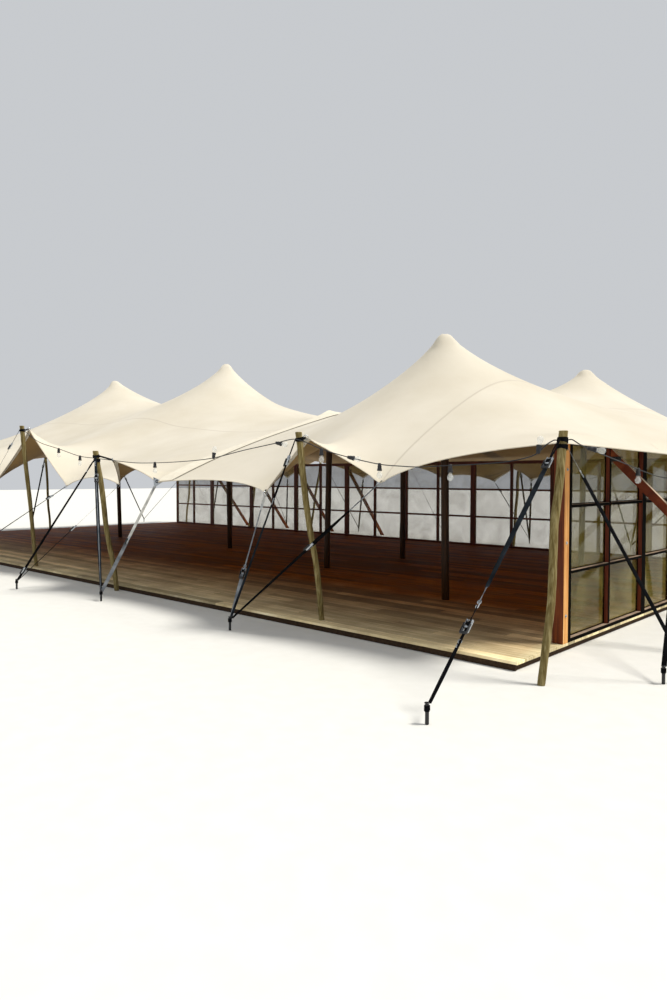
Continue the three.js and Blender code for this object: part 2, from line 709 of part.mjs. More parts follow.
const bays = (count) => Array.from({ length: count }, (_, bay) => bay * WINDOW_BAY);
const backInner = BACK_WALL_V - WALL_DEPTH / 2;
const runLength = BACK_RUN_BAYS * WINDOW_BAY;

// The back wall stands in three runs, each bolted to the next post to post. The braces of a
// run are placed from its left end.
const BACK_RUNS = {
  left: [WINDOW_BAY, 2 * WINDOW_BAY],
  middle: [BRACE_WIDTH / 2, WINDOW_BAY],
  right: [],
};
const runs = Object.entries(BACK_RUNS);
const backLength = runs.length * runLength;
const backPlace = [
  new THREE.Vector3(1, 0, 0),
  new THREE.Vector3(0, 1, 0),
  at(backLength, backInner, 0),
];
const backPane = backLength - WALL_DEPTH - PANE_THICKNESS - 2 * GAP;
runs.forEach(([place, braces], run) => {
  const frame = windowWall(runLength - GAP, bays(BACK_RUN_BAYS + 1), braces, BACK_BRACE_REACH);
  frame.translate(run * runLength, 0, 0);
  add(`back_window_frame_${place}`, stand(frame, ...backPlace), frameTimber);
});
add('back_window_glass', stand(pane(backPane), ...backPlace), glass);

const rightLength = backInner - GAP - RIGHT_WALL_START;
const rightPlace = [
  new THREE.Vector3(0, -1, 0),
  new THREE.Vector3(1, 0, 0),
  at(WALL_DEPTH, backInner - GAP, 0),
];
const rightPosts = bays(RIGHT_WALL_BAYS + 1).map((v) => Math.max(rightLength - v, 0));
const rightBraces = bays(RIGHT_BRACES).map((v) => rightLength - WINDOW_BAY / 2 - v);
const rightFrame = windowWall(rightLength, rightPosts, rightBraces, RIGHT_BRACE_REACH);
add('right_window_frame', stand(rightFrame, ...rightPlace), frameTimber);
add('right_window_glass', stand(pane(rightLength), ...rightPlace), glass);

// Corner post, a wide timber at the open end of the right wall
const CORNER_POST_SIZE = 110;
const CORNER_POST_TOP = WALL_TOP + 10;
add('corner_post', block(
  at(0, RIGHT_WALL_START - GAP - CORNER_POST_SIZE, FLOOR_TOP + GAP),
  at(CORNER_POST_SIZE, RIGHT_WALL_START - GAP, CORNER_POST_TOP),
), postTimber);

// Lamp cables
const CABLE_STEPS = { lamp_cable_front: 78, lamp_cable_side: 40 };
const cableSection = new THREE.Shape();
cableSection.absarc(0, 0, CABLE_RADIUS, 0, 2 * Math.PI);
for (const [name, route] of Object.entries(CABLE_ROUTES)) {
  add(name, new THREE.ExtrudeGeometry(cableSection, {
    steps: CABLE_STEPS[name],
    bevelEnabled: false,
    curveSegments: 4,
    extrudePath: new THREE.CatmullRomCurve3(route),
  }), cableRubber);
}

export default tent;
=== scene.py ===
import bpy, math
from functools import partial
import numpy as np
from mathutils import Matrix, Vector


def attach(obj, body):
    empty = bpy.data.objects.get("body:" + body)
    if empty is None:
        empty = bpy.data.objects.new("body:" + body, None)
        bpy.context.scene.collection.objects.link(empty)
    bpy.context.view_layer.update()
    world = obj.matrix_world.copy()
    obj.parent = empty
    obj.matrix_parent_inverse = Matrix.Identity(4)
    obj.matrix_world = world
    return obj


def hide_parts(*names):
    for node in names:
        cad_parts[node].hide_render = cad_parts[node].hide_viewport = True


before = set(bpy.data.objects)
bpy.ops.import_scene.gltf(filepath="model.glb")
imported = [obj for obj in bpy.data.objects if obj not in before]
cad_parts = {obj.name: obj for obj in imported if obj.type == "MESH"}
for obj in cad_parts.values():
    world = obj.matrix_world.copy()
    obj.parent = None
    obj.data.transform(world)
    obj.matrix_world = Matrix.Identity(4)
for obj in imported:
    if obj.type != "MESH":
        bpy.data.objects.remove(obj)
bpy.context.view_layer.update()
bpy.ops.object.select_all(action="DESELECT")


# ------------------------------------------------------------------ camera, floor and light
# The camera stands before the open corner, at a grown person's eye height, and looks along
# the floor's diagonal. The floor under the tent is plain and pale, and the light
# is a wide soft lamp high on the left behind it with an even fill from all round.
HALF_LENGTH, HALF_DEPTH = 9.15, 4.55


def at(u, v, z=0.0):
    """A place from the floor's front right corner: u to the left, v to the back, z up."""
    return Vector((HALF_LENGTH - u, v - HALF_DEPTH, z))


EYE, LENS = at(-2.9565, -5.5157, 1.6686), 25.52
turn, dip, tilt = math.radians(42.87), math.radians(1.81), math.radians(0.12)
ahead = Vector((-math.sin(turn) * math.cos(dip), math.cos(turn) * math.cos(dip), -math.sin(dip)))
level = Vector((math.cos(turn), math.sin(turn), 0))
above = level.cross(ahead)
right_way = math.cos(tilt) * level + math.sin(tilt) * above
upward = math.cos(tilt) * above - math.sin(tilt) * level

camera_data = bpy.data.cameras.new("camera")
camera_data.lens = LENS
camera_data.clip_end = 200
camera = bpy.data.objects.new("camera", camera_data)
bpy.context.scene.collection.objects.link(camera)
looking = Matrix((right_way, upward, -ahead)).transposed().to_4x4()
camera.matrix_world = Matrix.Translation(EYE) @ looking
bpy.context.scene.camera = camera


def colour(code):
    """The linear colour of an sRGB hex value."""
    steps = [int(code[i : i + 2], 16) / 255 for i in (0, 2, 4)]
    return [s / 12.92 if s <= 0.04045 else ((s + 0.055) / 1.055) ** 2.4 for s in steps] + [1.0]


def add_node(tree, kind, inputs=None, stops=None, **settings):
    """Adds a node with its settings, its inputs, and a ramp's stops.

    An input is a value, a socket to link, or a node, which is linked by its first output.
    """
    made = tree.nodes.new("ShaderNode" + kind)
    for name, value in settings.items():
        setattr(made, name, value)
    for key, value in (inputs or {}).items():
        if isinstance(value, bpy.types.Node):
            value = value.outputs[0]
        if isinstance(value, bpy.types.NodeSocket):
            tree.links.new(value, made.inputs[key])
        else:
            made.inputs[key].default_value = value
    if stops:
        elements = made.color_ramp.elements
        while len(elements) < len(stops):
            elements.new(0.5)
        for element, (place, shade) in zip(elements, stops):
            element.position = place
            element.color = colour(shade) if isinstance(shade, str) else (shade, shade, shade, 1)
    return made


def new_material(name):
    """A material, and the function that adds a node to its empty tree."""
    made = bpy.data.materials.new(name)
    made.use_nodes = True
    made.node_tree.nodes.clear()
    return made, partial(add_node, made.node_tree)


# Painted studio floor: even, pale and matt, with the faintest roller texture.
studio_floor, node = new_material("studio_floor_paint")
place = node("TexCoord").outputs["Object"]
roller = node("TexNoise", {"Vector": place, "Scale": 6.0, "Detail": 4.0})
paint = node("ValToRGB", {"Fac": roller}, stops=[(0.3, "d9d8d2"), (0.7, "dddcd7")])
shader = node("BsdfPrincipled", {"Base Color": paint, "Roughness": 0.9})
node("OutputMaterial", {"Surface": shader})

bpy.ops.mesh.primitive_plane_add(size=160, location=(0, 0, -0.002))
floor = bpy.context.object
floor.name = "studio_floor"
floor.data.materials.append(studio_floor)
floor.select_set(False)

AIR_COLOUR, AIR_STRENGTH = (0.93, 0.96, 1.0, 1.0), 0.62
KEY_COLOUR, KEY_STRENGTH, KEY_SPREAD, KEY_WAY = (1.0, 0.965, 0.9), 3.65, 14, (-0.5, -0.38, -1.0)
world = bpy.data.worlds.new("studio_air")
world.use_nodes = True
background = world.node_tree.nodes["Background"]
background.inputs["Color"].default_value = AIR_COLOUR
background.inputs["Strength"].default_value = AIR_STRENGTH
bpy.context.scene.world = world

sun_data = bpy.data.lights.new("soft_key", "SUN")
sun_data.energy = KEY_STRENGTH
sun_data.angle = math.radians(KEY_SPREAD)
sun_data.color = KEY_COLOUR
sun = bpy.data.objects.new("soft_key", sun_data)
sun.rotation_euler = Vector(KEY_WAY).to_track_quat("-Z", "Y").to_euler()
bpy.context.scene.collection.objects.link(sun)
bpy.context.scene.view_settings.view_transform = "Standard"


def mesh_object(name, points, faces, materials, places=None, map_name="cloth"):
    """An object of a mesh at rest in the row frame, with its own map if places are given."""
    mesh = bpy.data.meshes.new(name)
    mesh.from_pydata([tuple(map(float, p)) for p in points], [], faces)
    for each in materials:
        mesh.materials.append(each)
    if places is not None:
        layer = mesh.uv_layers.new(name=map_name)
        corner = np.empty(len(mesh.loops), np.int32)
        mesh.loops.foreach_get("vertex_index", corner)
        layer.data.foreach_set("uv", np.asarray(places, np.float32)[corner].ravel())
    mesh.shade_smooth()
    mesh.set_sharp_from_angle(angle=math.radians(50))
    made = bpy.data.objects.new(name, mesh)
    bpy.context.scene.collection.objects.link(made)
    return made


# ------------------------------------------------------------------ lamp cables and lamps
# A string of clear lamps on black rubber cable, tied to the heads of the edge poles and
# hanging between them. Each lamp is a moulded black holder on the cable with a pear bulb.
CABLE_DIAMETER = 0.01
CABLE_ROUTES = {
    "lamp_cable_front": [
        (9.4602, -0.103, 2.485), (9.43, -0.103, 2.485), (9.28, -0.14, 2.44),
        (8.7, -0.175, 2.25), (8.0, -0.18, 2.12), (7.29, -0.2, 1.99),
        (6.82, -0.21, 1.95), (6.45, -0.215, 1.922), (5.78, -0.2, 1.87),
        (5.26, -0.2, 1.86), (4.56, -0.21, 1.87), (3.97, -0.22, 1.9),
        (3.35, -0.24, 1.98), (2.79, -0.27, 2.04), (2.48, -0.28, 2.075),
        (2.3, -0.25, 2.03), (2.13, -0.21, 1.96), (1.79, -0.16, 1.87),
        (1.43, -0.13, 1.8), (1.2, -0.11, 1.78), (0.98, -0.08, 1.77),
        (0.69, -0.06, 1.78), (0.38, -0.04, 1.79), (0.1, -0.02, 1.81),
        (-0.12, 0.02, 1.86), (-0.2, 0.09, 1.95), (-0.25, 0.117, 1.9855),
        (-0.2802, 0.1174, 1.986),
    ],
    "lamp_cable_side": [
        (-0.3798, 0.1174, 1.986), (-0.412, 0.1174, 1.986), (-0.43, 0.25, 1.945),
        (-0.43, 0.69, 1.88), (-0.44, 1.17, 1.81), (-0.45, 1.63, 1.74),
        (-0.46, 2.15, 1.68), (-0.48, 2.75, 1.66), (-0.52, 3.4, 1.72),
        (-0.6, 4.0, 1.86), (-0.7, 4.45, 2.04), (-0.77, 4.65, 2.15),
        (-0.794, 4.76, 2.187), (-0.7983, 4.7984, 2.1875),
    ],
}
# Where a lamp hangs, in points of its cable's route, and the way its bulb points: down, up,
# or out to one side where the holder has rolled over on the cable.
LAMPS = {
    "lamp_cable_front": [
        (4.0, "down"), (5.05, "down"), (9.05, "down"), (11.05, "up"), (13.1, "side"),
        (15.95, "down"), (16.95, "side"), (18.0, "down"), (21.1, "down"), (24.3, "up"),
    ],
    "lamp_cable_side": [(2.4, "side"), (4.75, "down"), (6.6, "down"), (8.9, "side")],
}
LAMP_WAYS = {"down": (0, 0, -1), "up": (0.12, 0.1, 1), "side": (0.93, 0.25, -0.18)}


def along(points, place):
    """A spot on the smooth line through points, place in steps from its start."""
    step = min(int(place), len(points) - 2)
    share = place - step
    p = [Vector(points[min(max(step + k, 0), len(points) - 1)]) for k in (-1, 0, 1, 2)]
    out, into = (p[2] - p[0]) / 2, (p[3] - p[1]) / 2
    span = (p[2] - p[1]).length
    out, into = [w * min(1, span / max(w.length, 1e-6)) for w in (out, into)]
    s2, s3 = share**2, share**3
    spot = (2 * s3 - 3 * s2 + 1) * p[1] + (s3 - 2 * s2 + share) * out
    return spot + (3 * s2 - 2 * s3) * p[2] + (s3 - s2) * into


# Cable rubber: black neoprene, dull, greyed on top by dust, with a fine moulded grain.
cable_rubber, node = new_material("neoprene_cable")
place = node("TexCoord").outputs["Object"]
dust_and_painted_reflection = node("TexNoise", {"Vector": place, "Scale": 40.0, "Detail": 5.0})
tint = node("ValToRGB", {"Fac": dust_and_painted_reflection}, stops=[(0.35, "15161a"), (0.75, "2c2d31")])
grain = node("TexNoise", {"Vector": place, "Scale": 900.0})
relief = node("Bump", {"Height": grain, "Strength": 0.2, "Distance": 0.0004})
shader = node("BsdfPrincipled", {"Base Color": tint, "Roughness": 0.62, "Normal": relief})
node("OutputMaterial", {"Surface": shader})

# Clear bulb glass: thin blown glass, near colourless, that shows mostly as bright edges.
bulb_glass, node = new_material("blown_bulb_glass")
place = node("TexCoord").outputs["Object"]
ripple = node("TexNoise", {"Vector": place, "Scale": 60.0})
relief = node("Bump", {"Height": ripple, "Strength": 0.15, "Distance": 0.001})
shader = node("BsdfPrincipled", {
    "Base Color": colour("eef1ee"), "Roughness": 0.05, "IOR": 1.5, "Alpha": 0.28, "Normal": relief,
})
node("OutputMaterial", {"Surface": shader})


def turned_part(profile, spot, way, sides):
    """Points and faces of a closed turned shape: (distance along, radius) down its profile."""
    way = Vector(way).normalized()
    side = way.orthogonal().normalized()
    other = way.cross(side)
    points, faces = [], []
    for run, radius in profile:
        for k in range(sides):
            angle = 2 * math.pi * k / sides
            out = side * math.cos(angle) + other * math.sin(angle)
            points.append(spot + way * run + out * radius)
    for ring in range(len(profile) - 1):
        for k in range(sides):
            a, b = ring * sides + k, ring * sides + (k + 1) % sides
            faces.append((a, b, b + sides, a + sides))
    last = (len(profile) - 1) * sides
    faces.append(tuple(range(sides))[::-1])
    faces.append(tuple(range(last, last + sides)))
    return points, faces


HOLDER_PROFILE = [
    (-0.012, 0.006), (-0.012, 0.011), (-0.006, 0.016), (0.012, 0.0175), (0.016, 0.0175),
    (0.018, 0.0205), (0.026, 0.0205), (0.028, 0.019), (0.048, 0.0225), (0.052, 0.0245),
    (0.062, 0.0245), (0.065, 0.022), (0.065, 0.015),
]
BULB_PROFILE = [
    (0.06, 0.01), (0.066, 0.0135), (0.074, 0.0155), (0.086, 0.0215), (0.099, 0.0272),
    (0.111, 0.0292), (0.122, 0.0275), (0.132, 0.0215), (0.138, 0.0125), (0.1405, 0.004),
]

for name, route in CABLE_ROUTES.items():
    line = [at(*point) for point in route]
    data = bpy.data.curves.new(name + "_line", "CURVE")
    data.dimensions = "3D"
    data.resolution_u = 8
    data.bevel_depth = CABLE_DIAMETER / 2
    data.bevel_resolution = 3
    data.use_fill_caps = True
    spline = data.splines.new("BEZIER")
    spline.bezier_points.add(len(line) - 1)
    for k, knot in enumerate(spline.bezier_points):
        before, after = line[max(k - 1, 0)], line[min(k + 1, len(line) - 1)]
        lean = (after - before) / 2
        knot.co = line[k]
        for handle, near in (("handle_left", before), ("handle_right", after)):
            reach = (near - line[k]).length
            sign = 1 if handle == "handle_right" else -1
            setattr(knot, handle, line[k] + sign * lean * min(1, reach / lean.length) / 3)
    data.materials.append(cable_rubber)
    cable = bpy.data.objects.new(name + "_line", data)
    bpy.context.scene.collection.objects.link(cable)
    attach(cable, "root")
    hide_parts(name)
    for number, (place, way) in enumerate(LAMPS[name], 1):
        spot = along(line, place)
        for part, profile, sides, finish in (
            ("holder", HOLDER_PROFILE, 16, cable_rubber), ("bulb", BULB_PROFILE, 20, bulb_glass),
        ):
            shape = turned_part(profile, spot, LAMP_WAYS[way], sides)
            piece = mesh_object(f"{name}_lamp_{number}_{part}", *shape, [finish])
            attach(piece, "root")
    walked = [along(line, k / 20) for k in range(20 * (len(line) - 1) + 1)]
    length = sum((b - a).length for a, b in zip(walked, walked[1:]))

# ------------------------------------------------------------------ canopies
# Two pieces of cream stretch fabric, a knit with a coated back, about 1 mm thick, sewn from
# long panels. Six inner poles push them up into peaks, poles round the edge hold the hem and
# straps pull it down between them. The left canopy overlaps the right one along the join.
LINE_STEP = 0.1
COLUMNS, ROWS = 197, 101
JOIN_COLUMN, FLAP_COLUMN = 60, 57
# Inner poles: foot, peak and the crossing of the cloth's lines over it.
INNER_POLES = {
    "right_front": ((2.23, 2.22, 0.083), (2.26, 2.2, 3.52), (28, 24)),
    "right_rear": ((2.34, 6.64, 0.083), (2.34, 6.7, 3.575), (28, 68)),
    "join_front": ((5.56, 3.49, 0.083), (5.52, 3.52, 2.83), (60, 36)),
    "join_rear": ((5.49, 5.58, 0.083), (5.49, 5.58, 2.84), (60, 56)),
    "left_near": ((9.55, 4.54, 0.083), (9.59, 4.49, 4.188), (100, 44)),
    "left_far": ((13.94, 4.38, 0.083), (13.99, 4.3, 4.197), (144, 44)),
}
# Edge poles: foot, head, the canopy's ring tied to the head, and its crossing.
EDGE_POLES = {
    "front_1": ((-0.33, -0.22, 0), (-0.33, 0.13, 2.06), (-0.29, 0.21, 1.97), (0, 0)),
    "front_2": ((2.48, 0.15, 0.083), (2.48, -0.21, 2.15), (2.48, -0.1, 2.1), (28, 0)),
    "front_3": ((6.45, -0.07, 0), (6.45, -0.39, 2.04), (6.45, -0.12, 1.92), (68, 0)),
    "front_4": ((9.51, 0.12, 0.083), (9.51, -0.11, 2.56), (9.48, 0.0, 2.51), (100, 0)),
    "front_5": ((12.8, 0.12, 0.083), (12.8, -0.19, 2.16), (12.8, -0.08, 2.11), (132, 0)),
    "front_6": ((16.0, 0.12, 0.083), (16.0, -0.16, 2.46), (16.0, -0.05, 2.4), (164, 0)),
    "front_7": ((18.96, -0.12, 0), (19.1, -0.08, 2.12), (19.01, 0.0, 2.06), (196, 0)),
    "left": ((18.96, 4.85, 0), (19.23, 4.85, 2.36), (19.11, 4.85, 2.3), (196, 48)),
    "rear_7": ((18.96, 10.06, 0), (19.12, 10.39, 2.12), (19.04, 10.29, 2.06), (196, 100)),
    "rear_6": ((15.3, 9.98, 0), (15.3, 10.46, 2.45), (15.3, 10.34, 2.39), (156, 100)),
    "rear_5": ((12.4, 9.98, 0), (12.4, 10.46, 2.295), (12.4, 10.34, 2.235), (128, 100)),
    "rear_4": ((8.78, 9.8, 0), (9.12, 10.43, 2.275), (9.08, 10.32, 2.215), (96, 100)),
    "rear_3": ((5.44, 9.88, 0), (5.59, 10.42, 2.04), (5.6, 10.32, 1.96), (60, 100)),
    "rear_2": ((2.48, 9.98, 0), (2.48, 10.46, 2.11), (2.48, 10.34, 2.05), (28, 100)),
    "rear_1": ((-0.33, 9.98, 0), (-0.52, 10.37, 2.065), (-0.44, 10.27, 1.995), (0, 100)),
    "right": ((-0.43, 4.85, 0), (-0.82, 4.85, 2.295), (-0.69, 4.85, 2.235), (0, 48)),
}
LOW_POINTS = {
    "front_a": ((1.53, 0.0, 1.62), (20, 0)), "front_b": ((3.24, 0.0, 1.5), (36, 0)),
    "front_c": ((5.49, 0.0, 1.6), (60, 0)), "front_d": ((6.9, 0.25, 1.55), (76, 0)),
    "front_e": ((8.5, 0.2, 1.52), (88, 0)), "front_f": ((11.2, 0.1, 1.56), (116, 0)),
    "front_g": ((14.4, 0.1, 1.56), (148, 0)), "front_h": ((17.5, 0.1, 1.58), (180, 0)),
    "left_a": ((19.0, 2.35, 1.78), (196, 24)), "left_b": ((19.0, 7.45, 1.85), (196, 72)),
    "rear_h": ((17.2, 10.2, 1.72), (176, 100)), "rear_g": ((13.65, 10.2, 1.655), (140, 100)),
    "rear_f": ((10.45, 10.2, 1.66), (108, 100)), "rear_e": ((7.7, 10.19, 1.66), (80, 100)),
    "rear_d": ((6.15, 10.2, 1.58), (68, 100)), "rear_c": ((5.15, 10.2, 1.62), (56, 100)),
    "rear_b": ((3.24, 10.2, 1.65), (36, 100)), "rear_a": ((1.53, 10.2, 1.48), (20, 100)),
    "right_b": ((-0.62, 7.4, 1.56), (0, 72)), "right_a": ((-0.62, 2.35, 1.9), (0, 24)),
}
HEM_PULL, JOIN_PULL = 60, 12
HEM_STIFFNESS, JOIN_STIFFNESS = 15, 6.4
SLACK_SLOPE, STIFFENING = 0.136, 1.41
TAUT_COLUMNS, TAUT_FADE, TAUTNESS = (62, 92), 1.5, 7
PEAK_DROP = 0.03
FIRST_CROSSING = (9.65, -4.65, 2.1)
PLAN_OVERSHOOT, PLAN_SWEEPS = 1.93, 400
HEIGHT_OVERSHOOT, HEIGHT_SWEEPS, HEIGHT_ROUNDS = 1.9, 40, 30
OVER_WALLS, OVER_DECK = 2.084, 0.083
# The right hem is strained straight from the corner pole to its first ring, and the front hem
# nearly so from its second low ring to the join.
TAUT_HEM_ROWS, TAUT_HEM_STIFFNESS = slice(0, 24), 240
FIRM_HEM_COLUMNS, FIRM_HEM_STIFFNESS = slice(36, 60), 50


def pulls(stiffness, hem, join):
    """The pulls of the links along the rows and along the columns, hems and join stiffer."""
    along_rows = (stiffness[1:] + stiffness[:-1]) / 2
    along_columns = (stiffness[:, 1:] + stiffness[:, :-1]) / 2
    along_rows[:, [0, -1]] += hem
    along_columns[[0, -1]] += hem
    along_columns[JOIN_COLUMN] += join
    return along_rows, along_columns


def relaxed(values, held, least, along_rows, along_columns, overshoot, sweeps):
    """One coordinate of all crossings, drawn to their neighbours and never below its least."""
    shares = np.zeros((4, COLUMNS, ROWS))
    shares[0, 1:], shares[1, :-1] = along_rows, along_rows
    shares[2, :, 1:], shares[3, :, :-1] = along_columns, along_columns
    shares /= shares.sum(0)
    even = np.add.outer(np.arange(COLUMNS), np.arange(ROWS)) % 2 == 0
    framed = np.pad(values, 1)
    inner = framed[1:-1, 1:-1]
    for _ in range(sweeps):
        for turn_of in (even & ~held, ~even & ~held):
            drawn = shares[0] * framed[:-2, 1:-1] + shares[1] * framed[2:, 1:-1]
            drawn += shares[2] * framed[1:-1, :-2] + shares[3] * framed[1:-1, 2:]
            drawn = np.maximum(inner + overshoot * (drawn - inner), least)
            inner[turn_of] = drawn[turn_of]
    return inner.copy()


column, row = np.meshgrid(np.arange(COLUMNS), np.arange(ROWS), indexing="ij")
cloth = np.stack([-LINE_STEP * column, LINE_STEP * row, np.zeros(column.shape)], 2)
cloth += FIRST_CROSSING
held = np.zeros(column.shape, bool)
for *_, ring, line in EDGE_POLES.values():
    cloth[line], held[line] = at(*ring), True
for ring, line in LOW_POINTS.values():
    cloth[line], held[line] = at(*ring), True
for _, peak, line in INNER_POLES.values():
    for left, back in ((0, 0), (1, 0), (-1, 0), (0, 1), (0, -1)):
        spot = line[0] + left, line[1] + back
        drop = PEAK_DROP if left or back else 0
        cloth[spot] = at(*peak) + Vector((-LINE_STEP * left, LINE_STEP * back, -drop))
        held[spot] = True
links = pulls(np.ones(column.shape), HEM_PULL, JOIN_PULL)
for way in (0, 1):
    cloth[..., way] = relaxed(cloth[..., way], held, -np.inf, *links, PLAN_OVERSHOOT, PLAN_SWEEPS)
to_left, to_back = HALF_LENGTH - cloth[..., 0], cloth[..., 1] + HALF_DEPTH
over_rails = (to_left > -0.15) & (to_left < 18.6) & (to_back > 8.55) & (to_back < 9.2)
over_rails |= (to_left > -0.1) & (to_left < 0.4) & (to_back > 0.7) & (to_back < 9.2)
least = np.where(over_rails, OVER_WALLS, OVER_DECK)
begun = 1 / (1 + np.exp((TAUT_COLUMNS[0] - column) / TAUT_FADE))
goes_on = 1 / (1 + np.exp((column - TAUT_COLUMNS[1]) / TAUT_FADE))
settled = np.ones(column.shape)
for step in range(HEIGHT_ROUNDS):
    if step:
        slopes = np.gradient(cloth[..., 2], LINE_STEP)
        steep = (SLACK_SLOPE + slopes[0] ** 2 + slopes[1] ** 2) ** STIFFENING
        settled = (settled + steep / np.median(steep)) / 2
    links = pulls(settled * TAUTNESS ** (begun * goes_on), HEM_STIFFNESS, JOIN_STIFFNESS)
    links[1][0, TAUT_HEM_ROWS] += TAUT_HEM_STIFFNESS
    links[0][FIRM_HEM_COLUMNS, 0] += FIRM_HEM_STIFFNESS
    cloth[..., 2] = relaxed(cloth[..., 2], held, least, *links, HEIGHT_OVERSHOOT, HEIGHT_SWEEPS)
cloth = np.pad(cloth, ((1, 1), (1, 1), (0, 0)), "reflect", reflect_type="odd")


def cloth_at(columns, rows):
    """Places on the smooth cloth at any column and row."""
    columns, rows = np.broadcast_arrays(np.asarray(columns, float), np.asarray(rows, float))
    found = np.zeros(columns.shape + (3,))
    near, shares = [], []
    for place, count in ((columns, COLUMNS), (rows, ROWS)):
        first = np.clip(np.floor(place), 0, count - 2).astype(int)
        s = place - first
        near.append(first)
        shares.append((
            (-s**3 + 2 * s**2 - s) / 2, (3 * s**3 - 5 * s**2 + 2) / 2,
            (-3 * s**3 + 4 * s**2 + s) / 2, (s**3 - s**2) / 2,
        ))
    for a in range(4):
        for b in range(4):
            found += (shares[0][a] * shares[1][b])[..., None] * cloth[near[0] + a, near[1] + b]
    return found


def cloth_normal(columns, rows):
    """The cloth's upward direction, taken over the lines next to a place."""
    left = cloth_at(np.minimum(columns + 0.5, COLUMNS - 1), rows)
    right = cloth_at(np.maximum(columns - 0.5, 0), rows)
    back = cloth_at(columns, np.minimum(rows + 0.5, ROWS - 1))
    front = cloth_at(columns, np.maximum(rows - 0.5, 0))
    normal = np.cross(back - front, left - right)
    return normal / np.linalg.norm(normal, axis=-1, keepdims=True)


def fabric_skin(name, columns, rows, middle_off, half_thickness, materials):
    """A closed skin over a grid of columns and rows, its middle that far above the cloth."""
    offs = (middle_off + half_thickness, middle_off - half_thickness)
    columns, rows = np.broadcast_arrays(np.asarray(columns, float), np.asarray(rows, float))
    turning = np.gradient(columns, axis=0) * np.gradient(rows, axis=1)
    turning -= np.gradient(columns, axis=1) * np.gradient(rows, axis=0)
    if turning.sum() < 0:
        columns, rows = columns[::-1], rows[::-1]
        offs = [off[::-1] if np.ndim(off) else off for off in offs]
    middle, normal = cloth_at(columns, rows), cloth_normal(columns, rows)
    points = [middle + normal * np.reshape(off, np.shape(off) + (1,)) for off in offs]
    wide, deep = columns.shape
    top = np.arange(wide * deep).reshape(wide, deep)
    under = top + wide * deep
    faces = []
    for layer, order in ((top, [0, 1, 2, 3]), (under, [0, 3, 2, 1])):
        quads = np.stack([layer[:-1, :-1], layer[:-1, 1:], layer[1:, 1:], layer[1:, :-1]], 2)
        faces.append(quads.reshape(-1, 4)[:, order])
    for rim in ((slice(None), 0), (slice(None, None, -1), -1), (0, slice(None, None, -1)), (-1,)):
        high, low = top[rim], under[rim]
        faces.append(np.stack([high[:-1], high[1:], low[1:], low[:-1]], 1))
    places = np.stack([columns, rows], 2).reshape(-1, 2) * LINE_STEP
    points = np.concatenate([p.reshape(-1, 3) for p in points])
    faces = np.concatenate(faces).tolist()
    made = mesh_object(name, points, faces, materials, np.concatenate([places, places]))
    count = (wide - 1) * (deep - 1)
    slots = np.zeros(len(made.data.polygons), np.int32)
    slots[count : 2 * count] = len(materials) - 1
    made.data.polygons.foreach_set("material_index", slots)
    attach(made, "root")
    return made


# Fabric face: matt cream knit, evenly lit, with faint water stains, one welted seam across the
# right sheet, long ones along the left sheet, and a fine rib. The rib is drawn 12 mm wide where
# the real one is about 1 mm.
RIGHT_SEAM, LEFT_PANEL = 1.96, 2.45
sheets = {}
for side, light, dark, thread in (
    ("face", "f2ebda", "e5dcc7", "ddd3c0"), ("back", "a98a55", "8c6f3f", "5f4c30")
):
    fabric, node = new_material("coated_stretch_knit_" + side)
    place = node("TexCoord").outputs["Object"]
    flat = node("UVMap", uv_map="cloth")
    clouds = node("TexNoise", {"Vector": place, "Scale": 0.9, "Detail": 6.0, "Roughness": 0.55})
    tone = node("ValToRGB", {"Fac": clouds}, stops=[(0.3, dark), (0.7, light)])
    split = node("SeparateXYZ", {"Vector": flat})
    slanted = node(
        "Math", {0: split.outputs["Y"], 1: 0.045, 2: split.outputs["X"]}, operation="MULTIPLY_ADD"
    )
    off_seam = node("Math", {0: slanted, 1: RIGHT_SEAM}, operation="SUBTRACT")
    from_seam = node("Math", {0: off_seam}, operation="ABSOLUTE")
    between = node("Math", {0: split.outputs["Y"], 1: LEFT_PANEL / 2}, operation="PINGPONG")
    on_right = node(
        "Math", {0: split.outputs["X"], 1: FLAP_COLUMN * LINE_STEP}, operation="LESS_THAN"
    )
    beside = node("Math", {0: on_right, 1: 10.0, 2: between}, operation="MULTIPLY_ADD")
    fold = node("Math", {0: from_seam, 1: beside}, operation="MINIMUM")
    seam = node("MapRange", {
        "Value": fold, "From Min": 0.008, "From Max": 0.016, "To Min": 1.0, "To Max": 0.0,
    }, interpolation_type="SMOOTHSTEP")
    stitched = node("Mix", {0: seam, 6: tone, 7: colour(thread)}, data_type="RGBA")
    rib = node("TexWave", {"Vector": flat, "Scale": 26.0, "Distortion": 0.4, "Detail": 1.0})
    rumple = node("TexNoise", {"Vector": flat, "Scale": 5.0, "Detail": 3.0})
    ribbed = node("Bump", {"Height": rib.outputs["Fac"], "Strength": 0.25, "Distance": 0.0008})
    eased = node("Bump", {"Height": rumple, "Strength": 0.35, "Distance": 0.006, "Normal": ribbed})
    raised = node("Bump", {"Height": seam, "Strength": 0.8, "Distance": 0.003, "Normal": eased})
    opaque = node("BsdfPrincipled", {
        "Base Color": stitched.outputs[2], "Roughness": 0.86, "Sheen Weight": 0.15,
        "Sheen Roughness": 0.5, "Normal": raised,
    })
    through = node("BsdfTranslucent", {"Color": stitched.outputs[2], "Normal": eased})
    shader = node("MixShader", {"Fac": 0.25, 1: opaque, 2: through})
    node("OutputMaterial", {"Surface": shader})
    sheets[side] = fabric

SKIN_THICKNESS = 0.003
LAP_LIFT = 0.007


def sheet_lines(first, last, fine):
    """Lines every 100 mm, and every 50 mm near the lines in fine and near both ends."""
    halves = [k / 2 for k in range(2 * first, 2 * last + 1)]
    close = [first, last, *fine]
    return [h for h in halves if h % 1 == 0 or min(abs(h - c) for c in close) <= 6]


